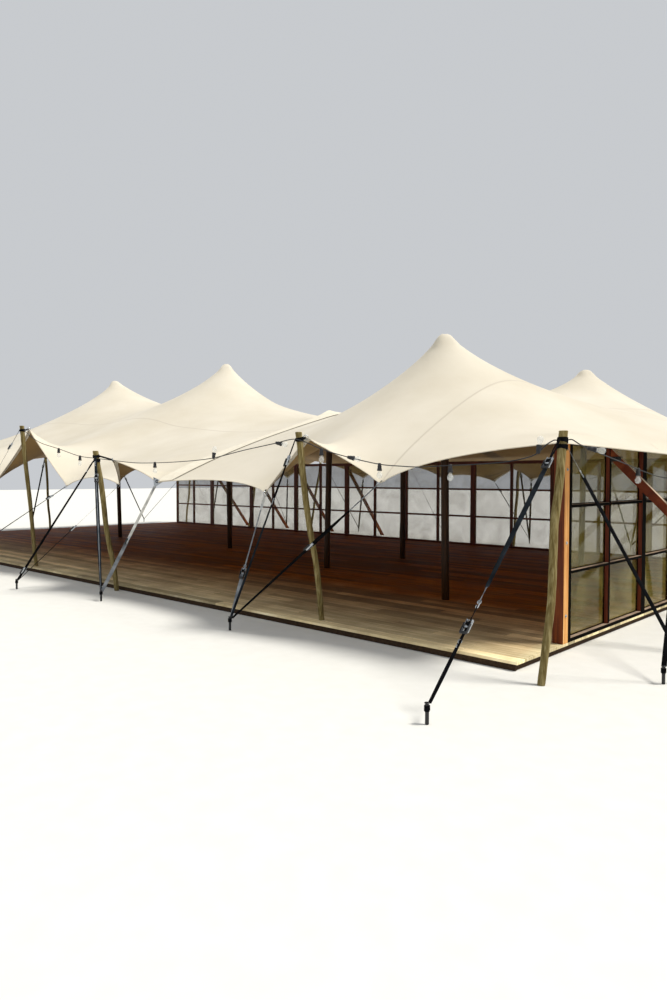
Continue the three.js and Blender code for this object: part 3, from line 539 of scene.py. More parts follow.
peak_lines = [line for _, _, line in INNER_POLES.values()]
sheet_rows = np.array(sheet_lines(0, ROWS - 1, [row for _, row in peak_lines]))
SPANS = {"canopy_right": (0, JOIN_COLUMN), "canopy_left": (FLAP_COLUMN, COLUMNS - 1)}
canopies = {}
for name, (first, last) in SPANS.items():
    inside = [c for c, _ in peak_lines if first < c < last]
    sheet_columns = np.array(sheet_lines(first, last, inside))[:, None]
    lift = np.clip(JOIN_COLUMN + 1 - sheet_columns, 0, 1) * LAP_LIFT * (name == "canopy_left")
    lift = lift + np.zeros((1, len(sheet_rows)))
    canopies[name] = fabric_skin(
        name + "_cloth", sheet_columns, sheet_rows, lift, SKIN_THICKNESS / 2,
        [sheets["face"], sheets["back"]],
    )
    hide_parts(name)

# The hem is turned over a webbing tape, 45 mm wide.
HEM_LINES, HEM_HALF, STRIP_HALF = 0.45, 0.0045, 0.0015
at_start, at_end = np.array([-0.04, HEM_LINES]), np.array([-HEM_LINES, 0.04])
rows_of_hem = (np.arange(0, 2 * ROWS - 1) / 2)[None]
trim = {name: [] for name in canopies}
for name, (first, last) in SPANS.items():
    lap, side = (LAP_LIFT, COLUMNS - 1 + at_end) if name == "canopy_left" else (0, at_start)
    long_way = (np.arange(2 * first, 2 * last + 1) / 2)[:, None]
    hems = {
        "front": (long_way, at_start[None]), "rear": (long_way, ROWS - 1 + at_end[None]),
        "side": (side[:, None], rows_of_hem),
    }
    for edge, lines in hems.items():
        c, r = np.broadcast_arrays(*lines)
        off = np.clip(JOIN_COLUMN + 1 - c, 0, 1) * lap
        hem = fabric_skin(f"{name}_hem_{edge}", c, r, off, HEM_HALF, [sheets["face"]] * 2)
        trim[name].append(hem)

# Lap band: a smooth strip of white coated fabric welded along the left canopy's lap edge, faintly
# wrinkled. Beside its free edge a thin grey strip is painted shadow.
lap_band, node = new_material("white_coated_lap_band")
flat = node("UVMap", uv_map="cloth")
wrinkle = node("TexNoise", {"Vector": flat, "Scale": 12.0, "Detail": 3.0})
tone = node("ValToRGB", {"Fac": wrinkle}, stops=[(0.3, "d9d1bd"), (0.7, "e4dcc9")])
relief = node("Bump", {"Height": wrinkle, "Strength": 0.4, "Distance": 0.004})
shader = node("BsdfPrincipled", {"Base Color": tone, "Roughness": 0.65, "Normal": relief})
node("OutputMaterial", {"Surface": shader})

# Painted shadow: a grey ribbed strip standing for the shadow gap under the lap band's edge.
lap_shadow_paint, node = new_material("painted_lap_shadow")
flat = node("UVMap", uv_map="cloth")
weave = node("TexWave", {"Vector": flat, "Scale": 30.0, "Distortion": 1.0})
tone = node("ValToRGB", {"Fac": weave.outputs["Fac"]}, stops=[(0.2, "6d685d"), (0.8, "8f897c")])
relief = node("Bump", {"Height": weave.outputs["Fac"], "Strength": 0.3, "Distance": 0.001})
shader = node("BsdfPrincipled", {"Base Color": tone, "Roughness": 0.85, "Normal": relief})
node("OutputMaterial", {"Surface": shader})

# The second strip is the painted shadow just beside the band's edge.
for part, reach, lift, finish in (
    ("band", (-0.02, 1.0, 2.0, 3.0), 0.004, lap_band), ("painted_shadow", (-0.24, -0.02), 0.0005, lap_shadow_paint),
):
    strip_columns = FLAP_COLUMN + np.array(reach)[:, None]
    strip_name, off = f"canopy_left_lap_{part}", LAP_LIFT + lift
    strip = fabric_skin(strip_name, strip_columns, rows_of_hem, off, STRIP_HALF, [finish] * 2)
    trim["canopy_left"].append(strip)

# Ring patches: fans of the doubled fabric round each ring, 260 mm out from it.
PATCH_REACH, PATCH_HALF = 2.6, 0.0024
rings = {place: (ring, line) for place, (_, _, ring, line) in EDGE_POLES.items()} | LOW_POINTS
for place, (ring, (c, r)) in rings.items():
    out = math.atan2((r == 0) - (r == ROWS - 1), (c == 0) - (c == COLUMNS - 1))
    corner = (c in (0, COLUMNS - 1)) and (r in (0, ROWS - 1))
    spread = math.pi / 4 if corner else math.pi / 2
    angle = (out + np.linspace(-spread, spread, 13))[:, None]
    reach = np.linspace(0.25, PATCH_REACH, 8)[None]
    c_at, r_at = c + np.cos(angle) * reach, r + np.sin(angle) * reach
    lap = LAP_LIFT if FLAP_COLUMN <= c <= JOIN_COLUMN else 0
    off = np.where(c_at <= JOIN_COLUMN, lap, 0.0)
    patch = fabric_skin(
        f"ring_patch_{place}", c_at, r_at, off, PATCH_HALF, [sheets["face"], sheets["back"]]
    )
    trim["canopy_right" if c < FLAP_COLUMN else "canopy_left"].append(patch)

for name, flat in (("canopy_right", (6.0, 10.0)), ("canopy_left", (13.9, 10.0))):
    on_right = name == "canopy_right"

# ------------------------------------------------------------------ inner poles
# Six planed round timbers, stained dark, that stand on the boards and end in a turned head
# under the fabric. The head is rounded over so that it spreads the load into the cloth.
UP = Vector((0, 0, 1))
INNER_POLE_RADIUS, OFF_GROUND = 0.051, 0.0005
INNER_HEAD = [
    (-0.125, 1.0), (-0.112, 1.03), (-0.098, 1.22), (-0.084, 1.36), (-0.062, 1.36),
    (-0.044, 1.22), (-0.03, 0.94), (-0.018, 0.56), (-0.012, 0.2),
]


def outward(smooth_to):
    """Turns the active mesh's faces outwards and shades it smooth up to an angle."""
    bpy.ops.object.mode_set(mode="EDIT")
    bpy.ops.mesh.select_all(action="SELECT")
    bpy.ops.mesh.normals_make_consistent(inside=False)
    bpy.ops.object.mode_set(mode="OBJECT")
    bpy.ops.object.shade_smooth_by_angle(angle=math.radians(smooth_to))


def grown_pole(name, path, radii, sides, material):
    """A round pole drawn up from its foot: each ring is extruded, then moved and resized."""
    bpy.ops.mesh.primitive_circle_add(
        vertices=sides, radius=radii[0], fill_type="NGON", location=path[0]
    )
    made = bpy.context.object
    made.name = name
    bpy.ops.object.transform_apply(location=True)
    bpy.ops.object.mode_set(mode="EDIT")
    for here, there, radius, width in zip(path, path[1:], radii, radii[1:]):
        bpy.ops.mesh.extrude_region_move(TRANSFORM_OT_translate={"value": there - here})
        bpy.ops.transform.resize(value=(width / radius, width / radius, 1), center_override=there)
    outward(50)
    made.data.materials.append(material)
    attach(made, "root")
    made.select_set(False)
    return made


def wood(name, stops, grain, roughness, relief_depth, gloss=0.25):
    """A timber finish: grain streaks drawn out by their scale, from dark to light stops."""
    made, node = new_material(name)
    place = node("TexCoord").outputs["Object"]
    drawn = node("Mapping", {"Vector": place, "Scale": grain})
    streaks = node("TexNoise", {
        "Vector": drawn, "Scale": 1.0, "Detail": 8.0, "Roughness": 0.6, "Distortion": 0.3,
    })
    tone = node("ValToRGB", {"Fac": streaks}, stops=stops)
    cloudy = node("TexNoise", {"Vector": place, "Scale": 2.3, "Detail": 3.0})
    shade = node("MapRange", {"Value": cloudy, "To Min": 0.72, "To Max": 1.18})
    toned = node("VectorMath", {0: tone, "Scale": shade}, operation="SCALE")
    relief = node("Bump", {"Height": streaks, "Strength": 0.5, "Distance": relief_depth})
    shader = node("BsdfPrincipled", {
        "Base Color": toned, "Roughness": roughness, "Specular IOR Level": gloss, "Normal": relief,
    })
    node("OutputMaterial", {"Surface": shader})
    return made


# Stained pine: planed smooth, dark brown with blacker grain along it, a low sheen.
stained_pine = wood(
    "stained_pine", [(0.3, "1e1004"), (0.55, "3c2209"), (0.75, "5a3614")], (60, 60, 2.5), 0.5, 0.002
)
for place, (foot, peak, _) in INNER_POLES.items():
    low, high = at(*foot) + UP * OFF_GROUND, at(*peak)
    neck = high + UP * INNER_HEAD[0][0]
    path = [low, low + UP * 0.004] + [low.lerp(neck, k / 6) for k in range(1, 6)]
    path += [high + UP * drop for drop, _ in INNER_HEAD]
    widths = [0.94] + [1] * 6 + [wide for _, wide in INNER_HEAD]
    radii = [INNER_POLE_RADIUS * wide for wide in widths]
    pole = grown_pole(f"inner_pole_{place}_timber", path, radii, 32, stained_pine)
    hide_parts(f"inner_pole_{place}")

# ------------------------------------------------------------------ edge poles
# Peeled softwood poles stand round the edge and lean out against their straps. They are
# crooked and knotty, weathered olive grey, and sawn off above the webbing that grips them.
EDGE_POLE_RADIUS = 0.045
CROOKED = {
    "front_1": [(0.012, 0.0), (0.022, 0.004), (0.01, 0.0), (-0.006, -0.004), (0.004, 0.0)],
    "front_2": [(0.018, 0.0), (0.02, 0.0), (-0.004, 0.0), (-0.016, 0.0), (-0.012, 0.0)],
    "front_3": [(0.022, 0.0), (-0.01, 0.0), (-0.024, 0.0), (0.006, 0.0), (0.02, 0.0)],
    "front_4": [(-0.01, 0.0), (0.006, 0.0), (0.014, 0.0), (0.002, 0.0), (-0.008, 0.0)],
}
THICK, USUAL_THICK = {"front_1": 0.82, "front_2": 0.8, "front_3": 0.88}, 0.85

# Weathered softwood: peeled of its bark, silvery olive with brown patches, dark lengthwise
# checks and small knots, quite rough.
weathered_softwood = wood(
    "weathered_softwood", [(0.28, "3f3417"), (0.45, "6f6036"), (0.62, "8f8258"), (0.8, "b8ab88")],
    (55, 55, 3.0), 0.85, 0.006,
)
for number, (place, (foot, head, _, _)) in enumerate(EDGE_POLES.items()):
    low, high = at(*foot), at(*head)
    low.z += OFF_GROUND
    wander = CROOKED.get(place)
    if wander is None:
        bends = [(2.1 * k + number, 1.3 * k + 2 * number) for k in range(1, 6)]
        wander = [(0.012 * math.sin(side), 0.012 * math.sin(back)) for side, back in bends]
    path = [low]
    for k, (side, back) in enumerate(wander, 1):
        path.append(low.lerp(high, k * 0.86 / (len(wander) + 0.5)) + Vector((side, back, 0)))
    path += [low.lerp(high, 0.93), low.lerp(high, 0.993), high + UP * 0.004]
    fine = [along(path, step / 4) for step in range(4 * (len(path) - 1) + 1)]
    radius = EDGE_POLE_RADIUS * THICK.get(place, USUAL_THICK)
    radii = []
    for k in range(len(fine)):
        swell = 0.86 + 0.17 * k / len(fine) + 0.025 * math.sin(1.9 * k + 3 * number)
        radii.append(radius * swell)
    radii[-1] *= 0.86
    pole = grown_pole(
        f"edge_pole_{place}_timber", fine, radii, 24, weathered_softwood
    )
    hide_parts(f"edge_pole_{place}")

# ------------------------------------------------------------------ guys
# Each guy is a black steel stake with polyester webbing that runs up to a pole's head or to
# a ring in the hem. A ratchet takes up each strap, and a steel hook ties it to its ring.
GUYS = {
    "front_1": ((-0.19, -1.6), ["front_1"], []),
    "front_2": ((3.11, -0.64), ["front_2"], ["front_a", "front_b"]),
    "front_3": ((5.8, -0.68), ["front_3"], ["front_c"]),
    "front_4": ((7.65, -1.02), ["front_3"], ["front_d"]),
    "front_5": ((9.9, -1.3), ["front_4"], ["front_e"]),
    "front_6": ((12.25, -1.25), ["front_5"], ["front_f"]),
    "front_7": ((15.45, -1.25), ["front_6"], ["front_g"]),
    "front_8": ((18.75, -2.0), ["front_7"], ["front_h"]),
    "left_1": ((20.3, 0.95), ["front_7"], ["left_a"]),
    "left_2": ((20.3, 4.85), ["left"], []),
    "left_3": ((20.3, 9.1), ["rear_7"], ["left_b"]),
    "rear_8": ((18.75, 11.1), ["rear_7"], ["rear_h"]),
    "rear_7": ((14.65, 11.1), ["rear_6"], ["rear_g"]),
    "rear_6": ((11.4, 11.1), ["rear_5"], ["rear_f"]),
    "rear_5": ((8.25, 11.1), ["rear_4"], ["rear_e"]),
    "rear_4": ((5.65, 11.1), ["rear_3"], ["rear_d", "rear_c"]),
    "rear_3": ((3.11, 11.1), ["rear_2"], ["rear_b", "rear_a"]),
    "rear_1": ((-0.19, 11.1), ["rear_1"], []),
    "right_4": ((-1.7, 9.3), ["rear_1"], ["right_b"]),
    "right_3": ((-2.0, 4.85), ["right"], []),
    "right_2": ((-1.04, 0.49), [], ["right_a"]),
    "right_1": ((-1.18, 0.62), ["front_1"], []),
}
STRAP_HEIGHT, WEBBING_THICKNESS = 0.11, 0.003
KNOT_RADIUS, KNOT_WIDTH, WRAP_WIDTH, TAIL_WIDTH, LOOP_WIDTH = 0.019, 0.034, 0.032, 0.024, 0.04
PLATE_TURN, PLATE_FORWARD = math.radians(-50), 0.018
ALONG_X, ALONG_Y = Vector((1, 0, 0)), Vector((0, 1, 0))
LYING, ACROSS, STANDING = (0, math.pi / 2, 0), (math.pi / 2, 0, 0), (0, 0, 0)
COLLAR_DROP, COLLAR_PITCH = 0.075, 0.06
WEBBING_SECTION = [
    (-1, -0.4), (-0.94, -1), (0.94, -1), (1, -0.4), (1, 0.4), (0.94, 1), (-0.94, 1), (-1, 0.4),
]


def webbing_finish(name, dark, light):
    """Woven polyester: matt, with the ribs of the weave across it, drawn 9 mm apart for 3 mm."""
    made, node = new_material(name)
    flat = node("UVMap", uv_map="cloth")
    ribs = node("TexWave", {"Vector": flat, "Scale": 35.0, "Distortion": 0.6, "Detail": 2.0})
    soil = node("TexNoise", {"Vector": flat, "Scale": 9.0, "Detail": 4.0})
    tone = node("ValToRGB", {"Fac": soil}, stops=[(0.35, dark), (0.68, light)])
    relief = node("Bump", {"Height": ribs.outputs["Fac"], "Strength": 0.45, "Distance": 0.0012})
    shader = node("BsdfPrincipled", {
        "Base Color": tone, "Roughness": 0.9, "Specular IOR Level": 0.04, "Normal": relief,
    })
    node("OutputMaterial", {"Surface": shader})
    return made


# Straps are black, slate blue, grey or white polyester; the grey has bleached in the sun.
webbings = {
    "black": webbing_finish("black_polyester_webbing", "08080a", "131417"),
    "blue": webbing_finish("slate_polyester_webbing", "12161a", "2a3036"),
    "grey": webbing_finish("bleached_polyester_webbing", "5a5f66", "8d9195"),
    "white": webbing_finish("white_polyester_webbing", "a9a9a4", "d9d8d2"),
}

# Galvanised steel: zinc-coated pressings and forged hooks, mid grey, cloudy and half bright.
zinc, node = new_material("galvanised_steel")
place = node("TexCoord").outputs["Object"]
spangle = node("TexVoronoi", {"Vector": place, "Scale": 70.0})
tone = node("ValToRGB", {"Fac": spangle}, stops=[(0.1, "8f959b"), (0.8, "c3c8cc")])
rough = node("MapRange", {"Value": spangle, "To Min": 0.28, "To Max": 0.5})
shader = node("BsdfPrincipled", {"Base Color": tone, "Metallic": 1.0, "Roughness": rough})
node("OutputMaterial", {"Surface": shader})

# Black japanned steel: stakes and buckle handles, dipped black, chipped to grey at the knocks.
japanned, node = new_material("black_japanned_steel")
place = node("TexCoord").outputs["Object"]
chips = node("TexNoise", {"Vector": place, "Scale": 55.0, "Detail": 6.0})
tone = node("ValToRGB", {"Fac": chips}, stops=[(0.62, "101114"), (0.7, "4a4b4d")])
relief = node("Bump", {"Height": chips, "Strength": 0.3, "Distance": 0.001})
shader = node("BsdfPrincipled", {"Base Color": tone, "Roughness": 0.45, "Normal": relief})
node("OutputMaterial", {"Surface": shader})


def ribbon(points, across, width, thickness, start=0):
    """Points, faces and map of a strap along points, with its width along across."""
    ring, faces, places = [], [], []
    run = 0.0
    for k, spot in enumerate(points):
        way = (points[min(k + 1, len(points) - 1)] - points[max(k - 1, 0)]).normalized()
        wide = across[k] if isinstance(across, list) else across
        wide = (wide - way * wide.dot(way)).normalized()
        face = way.cross(wide)
        run += (spot - points[k - 1]).length if k else 0
        for s, t in WEBBING_SECTION:
            ring.append(spot + wide * s * width / 2 + face * t * thickness / 2)
            places.append((run, s * width / 2))
    for k in range(len(points) - 1):
        for n in range(8):
            a, b = start + 8 * k + n, start + 8 * k + (n + 1) % 8
            faces.append((a, a + 8, b + 8, b))
    last = start + 8 * (len(points) - 1)
    faces += [tuple(range(start, start + 8)), tuple(range(last, last + 8))[::-1]]
    return ring, faces, places


def webbing(name, strips, kind, thickness=WEBBING_THICKNESS):
    """One piece of one or more straps, each (points, across, width)."""
    points, faces, places = [], [], []
    for line, across, width in strips:
        more = ribbon(line, across, width, thickness, len(points))
        points += more[0]
        faces += more[1]
        places += more[2]
    made = mesh_object(name, points, faces, [webbings[kind]], places)
    bpy.context.view_layer.objects.active = made
    made.select_set(True)
    outward(40)
    made.select_set(False)
    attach(made, "root")
    return made


def copied(pattern, name, spot, way, side, slot_name="webbing"):
    """A copy of a fitting with its own mesh, its length along way and its width along side."""
    way = way.normalized()
    side = (side - way * side.dot(way)).normalized()
    mesh = pattern.copy()
    mesh.transform(
        Matrix.Translation(spot) @ Matrix((way, side, way.cross(side))).transposed().to_4x4()
    )
    made = bpy.data.objects.new(name, mesh)
    bpy.context.scene.collection.objects.link(made)
    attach(made, "root")
    return made


def fitting(parts):
    """Joins the parts just made into one mesh, faces outwards, and takes it off the scene."""
    bpy.ops.object.select_all(action="DESELECT")
    for part in parts:
        part.select_set(True)
    bpy.context.view_layer.objects.active = parts[0]
    bpy.ops.object.transform_apply(location=True, rotation=True, scale=True)
    if len(parts) > 1:
        bpy.ops.object.join()
    outward(35)
    mesh = parts[0].data.copy()
    bpy.data.objects.remove(parts[0])
    return mesh


def bevelled(offset, segments, materials):
    """The primitive just added, its edges taken off, in its materials."""
    bpy.ops.object.mode_set(mode="EDIT")
    bpy.ops.mesh.select_all(action="SELECT")
    bpy.ops.mesh.bevel(offset=offset, segments=segments, affect="EDGES")
    bpy.ops.object.mode_set(mode="OBJECT")
    made = bpy.context.object
    for each in materials:
        made.data.materials.append(each)
    return made


def plate(size, spot, rounding, material):
    """A pressed plate with its edges rounded."""
    bpy.ops.mesh.primitive_cube_add(size=1, location=spot, scale=size)
    bpy.ops.object.transform_apply(location=True, scale=True)
    return bevelled(rounding, 2, [material])


def rod(radius, length, spot, turned, material, sides=12):
    """A round bar across or along a fitting."""
    bpy.ops.mesh.primitive_cylinder_add(
        vertices=sides, radius=radius, depth=length, location=spot, rotation=turned
    )
    return bevelled(radius * 0.15, 1, [material])


# Ratchet: two pressed side plates, a drum with a wheel at each end between them, and a handle.
parts = [plate((0.105, 0.003, 0.024), (0, side, 0), 0.0011, zinc) for side in (-0.0245, 0.0245)]
parts += [
    plate((0.085, 0.003, 0.02), (0.028, side, 0.013), 0.0009, japanned) for side in (-0.028, 0.028)
]
parts += [
    rod(0.008, 0.053, (0.012, 0, 0.003), ACROSS, zinc, 16),
    rod(0.004, 0.05, (-0.046, 0, 0), ACROSS, zinc),
]
parts += [
    rod(0.016, 0.003, (0.012, side, 0.003), ACROSS, japanned, 14) for side in (-0.0215, 0.0215)
]
parts.append(plate((0.024, 0.058, 0.013), (0.066, 0, 0.015), 0.004, japanned))
parts.append(plate((0.026, 0.044, 0.012), (-0.018, 0, 0.004), 0.003, webbings["black"]))
ratchet = fitting(parts)

# Hook: a bent steel claw with its eye, and a welded ring that it holds.
bpy.ops.mesh.primitive_torus_add(
    major_radius=0.026, minor_radius=0.0045, major_segments=28, minor_segments=10
)
bpy.context.object.data.materials.append(zinc)
steel_ring = fitting([bpy.context.object])
bpy.ops.mesh.primitive_torus_add(
    major_radius=0.015, minor_radius=0.0038, major_segments=22, minor_segments=8,
    location=(-0.03, 0, 0),
)
eye = bpy.context.object
eye.data.materials.append(zinc)
claw = [
    (0.04, (-0.002, 0.009, 0), LYING), (0.022, (0.01, -0.009, 0), LYING),
    (0.022, (0.02, 0, 0), ACROSS),
]
hook = fitting([eye] + [rod(0.0042, length, spot, turned, zinc) for length, spot, turned in claw])

# Join plate: a triangle of pressed steel that ties the corners of both canopies to one strap.
bpy.ops.mesh.primitive_cylinder_add(
    vertices=3, radius=0.085, depth=0.005, rotation=(0, 0, -math.pi / 2)
)
plate_parts = [bevelled(0.0018, 2, [zinc])]
plate_parts.append(rod(0.022, 0.013, (-0.008, 0, 0), STANDING, japanned, 16))
plate_parts.append(rod(0.01, 0.019, (-0.008, 0, 0), STANDING, zinc, 6))
plate_parts += [rod(0.007, 0.011, (-0.03, side, 0), STANDING, japanned) for side in (-0.05, 0.05)]
join_plate = fitting(plate_parts)

# Stake: a round steel peg, driven in, with a welded collar and a flat cap.
peg_rings = [(0.014, 0.15, 0.075), (0.02, 0.008, 0.146), (0.018, 0.006, 0.088)]
stake_mesh = fitting(
    [rod(*ring, (0, 0, height), STANDING, japanned, 18) for *ring, height in peg_rings]
)

# How each strap is made up: where its ratchets and its hooks sit, then its runs from the upper
# end: (from, to, webbing, width, apart, turned, turned at its end). Places are shares of the
# strap, two straps lie apart, and turns are degrees.
STRAPS = {
    ("front_1", "front_1"): (
        [0.105, 0.735], [0.665, 0.8], (0, 0.09, "black", 0.014, 0.024, 0, 0),
        (0.1, 0.6, "blue", 0.045, 0.02, 8, 20), (0.6, 0.66, "grey", 0.024, 0, 30, 80),
        (0.67, 0.75, "black", 0.045, 0, 60, 30), (0.75, 0.985, "black", 0.032, 0.016, 20, 10),
    ),
    ("right_1", "front_1"): (
        [], [0.125], (0, 0.12, "grey", 0.014, 0, 0, 0), (0.125, 0.985, "black", 0.038, 0, 50, 60),
    ),
    ("front_2", "front_2"): (
        [0.11], [0.34], (0, 0.1, "black", 0.02, 0.022, 0, 0),
        (0.1, 0.34, "black", 0.035, 0, 10, 30), (0.34, 0.985, "blue", 0.028, 0, 20, 60),
    ),
    ("front_2", "front_b"): (
        [0.63], [0.1, 0.6], (0, 0.12, "white", 0.02, 0.026, 0, 0),
        (0.12, 0.62, "grey", 0.028, 0, 30, 20), (0.64, 0.985, "grey", 0.045, 0.018, 0, 30),
    ),
    ("front_2", "front_a"): (
        [0.43], [0.16], (0, 0.17, "grey", 0.02, 0.016, 0, 0),
        (0.17, 0.42, "black", 0.045, 0.01, 0, 40), (0.42, 0.985, "black", 0.036, 0, 40, 20),
    ),
    ("front_3", "front_3"): (
        [0.16], [0.06], (0, 0.985, "blue", 0.02, 0.034, 20, 40),
        (0.2, 0.985, "grey", 0.018, 0, 20, 40),
    ),
    ("front_3", "front_c"): (
        [0.51], [0.05], (0, 0.5, "white", 0.036, 0, 80, 110),
        (0.52, 0.985, "grey", 0.036, 0.01, 80, 100),
    ),
    ("front_4", "front_3"): (
        [0.9], [0.08], (0, 0.08, "black", 0.02, 0.018, 0, 0),
        (0.09, 0.985, "black", 0.045, 0, 0, 20),
    ),
    ("front_4", "front_d"): (
        [0.44], [0.05], (0, 0.42, "grey", 0.018, 0, 0, 0), (0.43, 0.985, "black", 0.042, 0, 10, 10),
    ),
}
USUAL_STRAP = (
    [0.115], [0.1], (0, 0.1, "black", 0.02, 0.022, 0, 0), (0.11, 0.985, "black", 0.045, 0, 0, 15),
)

collars = {}
for guy, (stake, heads, lows) in GUYS.items():
    foot = at(*stake)
    peg = copied(stake_mesh, f"guy_{guy}_stake", foot, ALONG_X, ALONG_Y)
    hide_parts(f"guy_{guy}")
    knot_at = foot + UP * STRAP_HEIGHT
    turns = []
    for a in np.linspace(0, 4 * math.pi, 40):
        turn = Vector(
            (KNOT_RADIUS * math.cos(a), KNOT_RADIUS * math.sin(a), 0.004 * math.sin(2.2 * a))
        )
        turns.append(knot_at + turn)
    strips = {"black": [(turns, UP, KNOT_WIDTH)], "blue": [], "grey": [], "white": []}
    fittings = 0
    for place in heads + lows:
        if place in heads:
            low_end, head, ring, _ = EDGE_POLES[place]
            low_end, head, ring = at(*low_end), at(*head), at(*ring)
            lean = (head - low_end).normalized()
            above_it = collars.get(place, 0)
            collars[place] = above_it + 1
            middle = head - lean * (COLLAR_DROP + COLLAR_PITCH * above_it)
            toward = knot_at - middle
            toward = (toward - lean * toward.dot(lean)).normalized()
            wrap_radius = EDGE_POLE_RADIUS * THICK.get(place, USUAL_THICK) + 0.004
            beside = lean.cross(toward)
            wrap = []
            for a in np.linspace(0, 4 * math.pi, 60):
                rise = 0.009 * math.sin(a * 0.5 + above_it)
                out = (toward * math.cos(a) + beside * math.sin(a)) * (wrap_radius + 0.0004 * a)
                wrap.append(middle + out + lean * rise)
            strips["black"].append((wrap, lean, WRAP_WIDTH))
            if above_it == 0:
                reach = ring - middle
                start = middle + (reach - lean * reach.dot(lean)).normalized() * wrap_radius
                strips["black"].append(([start, start.lerp(ring, 0.5), ring], lean, TAIL_WIDTH))
                copied(steel_ring, f"guy_{guy}_hem_ring_{place}", ring, lean, toward)
            top = middle + toward * (wrap_radius + 0.006)
        else:
            ring = at(*LOW_POINTS[place][0])
            spread = (knot_at - ring).normalized()
            ring_name, ring_spot = f"guy_{guy}_hem_ring_{place}", ring + spread * 0.024
            copied(steel_ring, ring_name, ring_spot, spread, Vector((0, 1, 0.3)))
            hem_loop = [ring - spread * 0.03, ring + spread * 0.004]
            strips["black"].append((hem_loop, spread.cross(UP), LOOP_WIDTH))
            if place in ("front_c", "rear_c"):
                sideways = Matrix.Rotation(PLATE_TURN, 3, spread) @ ALONG_X
                in_front = ring + spread.cross(sideways) * PLATE_FORWARD
                copied(join_plate, f"guy_{guy}_join_plate", in_front, spread, sideways)
            top = ring + spread * 0.05
        line = knot_at - top
        way = line.normalized()
        across_it = UP.cross(way).normalized()
        face = way.cross(across_it)
        ratchets, hooks, *runs = STRAPS.get((guy, place), USUAL_STRAP)
        for a, b, kind, width, apart, turned, turned_last in runs:
            count = max(2, int(10 * (b - a)) + 1)
            for side in ((-0.5, 0.5) if apart else (0,)):
                spots, ways = [], []
                for k in range(count + 1):
                    share = k / count
                    angle = math.radians(turned + (turned_last - turned) * share)
                    ways.append(across_it * math.cos(angle) + face * math.sin(angle))
                    apart_here = apart * (0.35 + 0.65 * math.sin(math.pi * share)) * side
                    spot = top + line * (a + (b - a) * share) + ways[-1] * apart_here
                    spots.append(spot + face * 0.003 * side)
                strips[kind].append((spots, ways, width))
        for what, pattern, shares in (("ratchet", ratchet, ratchets), ("hook", hook, hooks)):
            for share in shares:
                fittings += 1
                fitting_name = f"guy_{guy}_{what}_{fittings}"
                copied(pattern, fitting_name, top + line * share, way, across_it)
    for kind, made_of in strips.items():
        if made_of:
            webbing(f"guy_{guy}_{kind}_straps", made_of, kind)

# ------------------------------------------------------------------ deck
# The floor is a deck of narrow planed boards laid along the tent and screwed down to joists
# that lie across it on the ground. The joists stop short of the edge, which hangs in shadow.
DECK_LENGTH, DECK_DEPTH, DECK_TOP = 18.3, 9.1, 0.083
BOARD_ROWS, BOARD_LENGTH, BOARD_THICKNESS, BOARD_GAP = 63, 3.6, 0.028, 0.005
JOIST_SPACING, JOIST_WIDTH, JOIST_SETBACK = 0.6, 0.045, 0.03
JOINT_GAP, RIM_WIDTH, SCREW_APART = 0.0005, 0.025, 0.045
row_pitch = DECK_DEPTH / BOARD_ROWS

# Worn deck board: planed softwood gone red brown under the tent, each board its own tone,
# with long grain and dark scuffs. The front edge, out in the weather, is bleached and paler.
deck_board, node = new_material("worn_deck_board")
laid = node("UVMap", uv_map="boards")
drawn = node("Mapping", {"Vector": laid, "Scale": (1.6, 55, 1)})
grain = node(
    "TexNoise", {"Vector": drawn, "Scale": 1.0, "Detail": 8.0, "Roughness": 0.6, "Distortion": 0.4}
)
sheltered = node(
    "ValToRGB", {"Fac": grain}, stops=[(0.3, "5c2601"), (0.5, "8a4604"), (0.72, "bc7414")]
)
bleached = node(
    "ValToRGB", {"Fac": grain}, stops=[(0.3, "b8a67c"), (0.5, "decda0"), (0.72, "fbf0cc")]
)
place = node("TexCoord").outputs["Object"]
parted = node("SeparateXYZ", {"Vector": place})
scuffs = node("TexNoise", {"Vector": place, "Scale": 1.7, "Detail": 6.0})
ragged = node("Math", {0: scuffs, 1: -0.9, 2: parted.outputs["Y"]}, operation="MULTIPLY_ADD")
rained_on = node("MapRange", {"Value": ragged, "From Min": -2.6, "From Max": -5.3})
outside = node("MapRange", {"Value": parted.outputs["X"], "From Min": 8.7, "From Max": 9.1})
weather = node("Math", {0: rained_on, 1: outside}, operation="MAXIMUM", use_clamp=True)
mixed = node("Mix", {"Factor": weather, "A": sheltered, "B": bleached}, data_type="RGBA")
tone = node("Attribute", attribute_name="board_tone")
scuffed = node(
    "MapRange", {"Value": scuffs, "From Min": 0.3, "From Max": 0.7, "To Min": 0.8, "To Max": 1.15}
)
shade = node("Math", {0: tone.outputs["Fac"], 1: scuffed}, operation="MULTIPLY")
toned = node("VectorMath", {0: mixed.outputs["Result"], "Scale": shade}, operation="SCALE")
polish = node("MapRange", {"Value": scuffs, "To Min": 0.45, "To Max": 0.8})
relief = node("Bump", {"Height": grain, "Strength": 0.4, "Distance": 0.001})
shader = node("BsdfPrincipled", {
    "Base Color": toned, "Roughness": polish, "Specular IOR Level": 0.1, "Normal": relief,
})
node("OutputMaterial", {"Surface": shader})

# Deck screw: zinc-plated countersunk heads gone dull, a little darker in their middle.
deck_screw, node = new_material("dull_zinc_screw")
place = node("TexCoord").outputs["Object"]
dulled = node("TexNoise", {"Vector": place, "Scale": 90.0, "Detail": 2.0})
tone = node("ValToRGB", {"Fac": dulled}, stops=[(0.35, "3a3632"), (0.7, "6f6a62")])
shader = node("BsdfPrincipled", {"Base Color": tone, "Metallic": 0.8, "Roughness": 0.5})
node("OutputMaterial", {"Surface": shader})
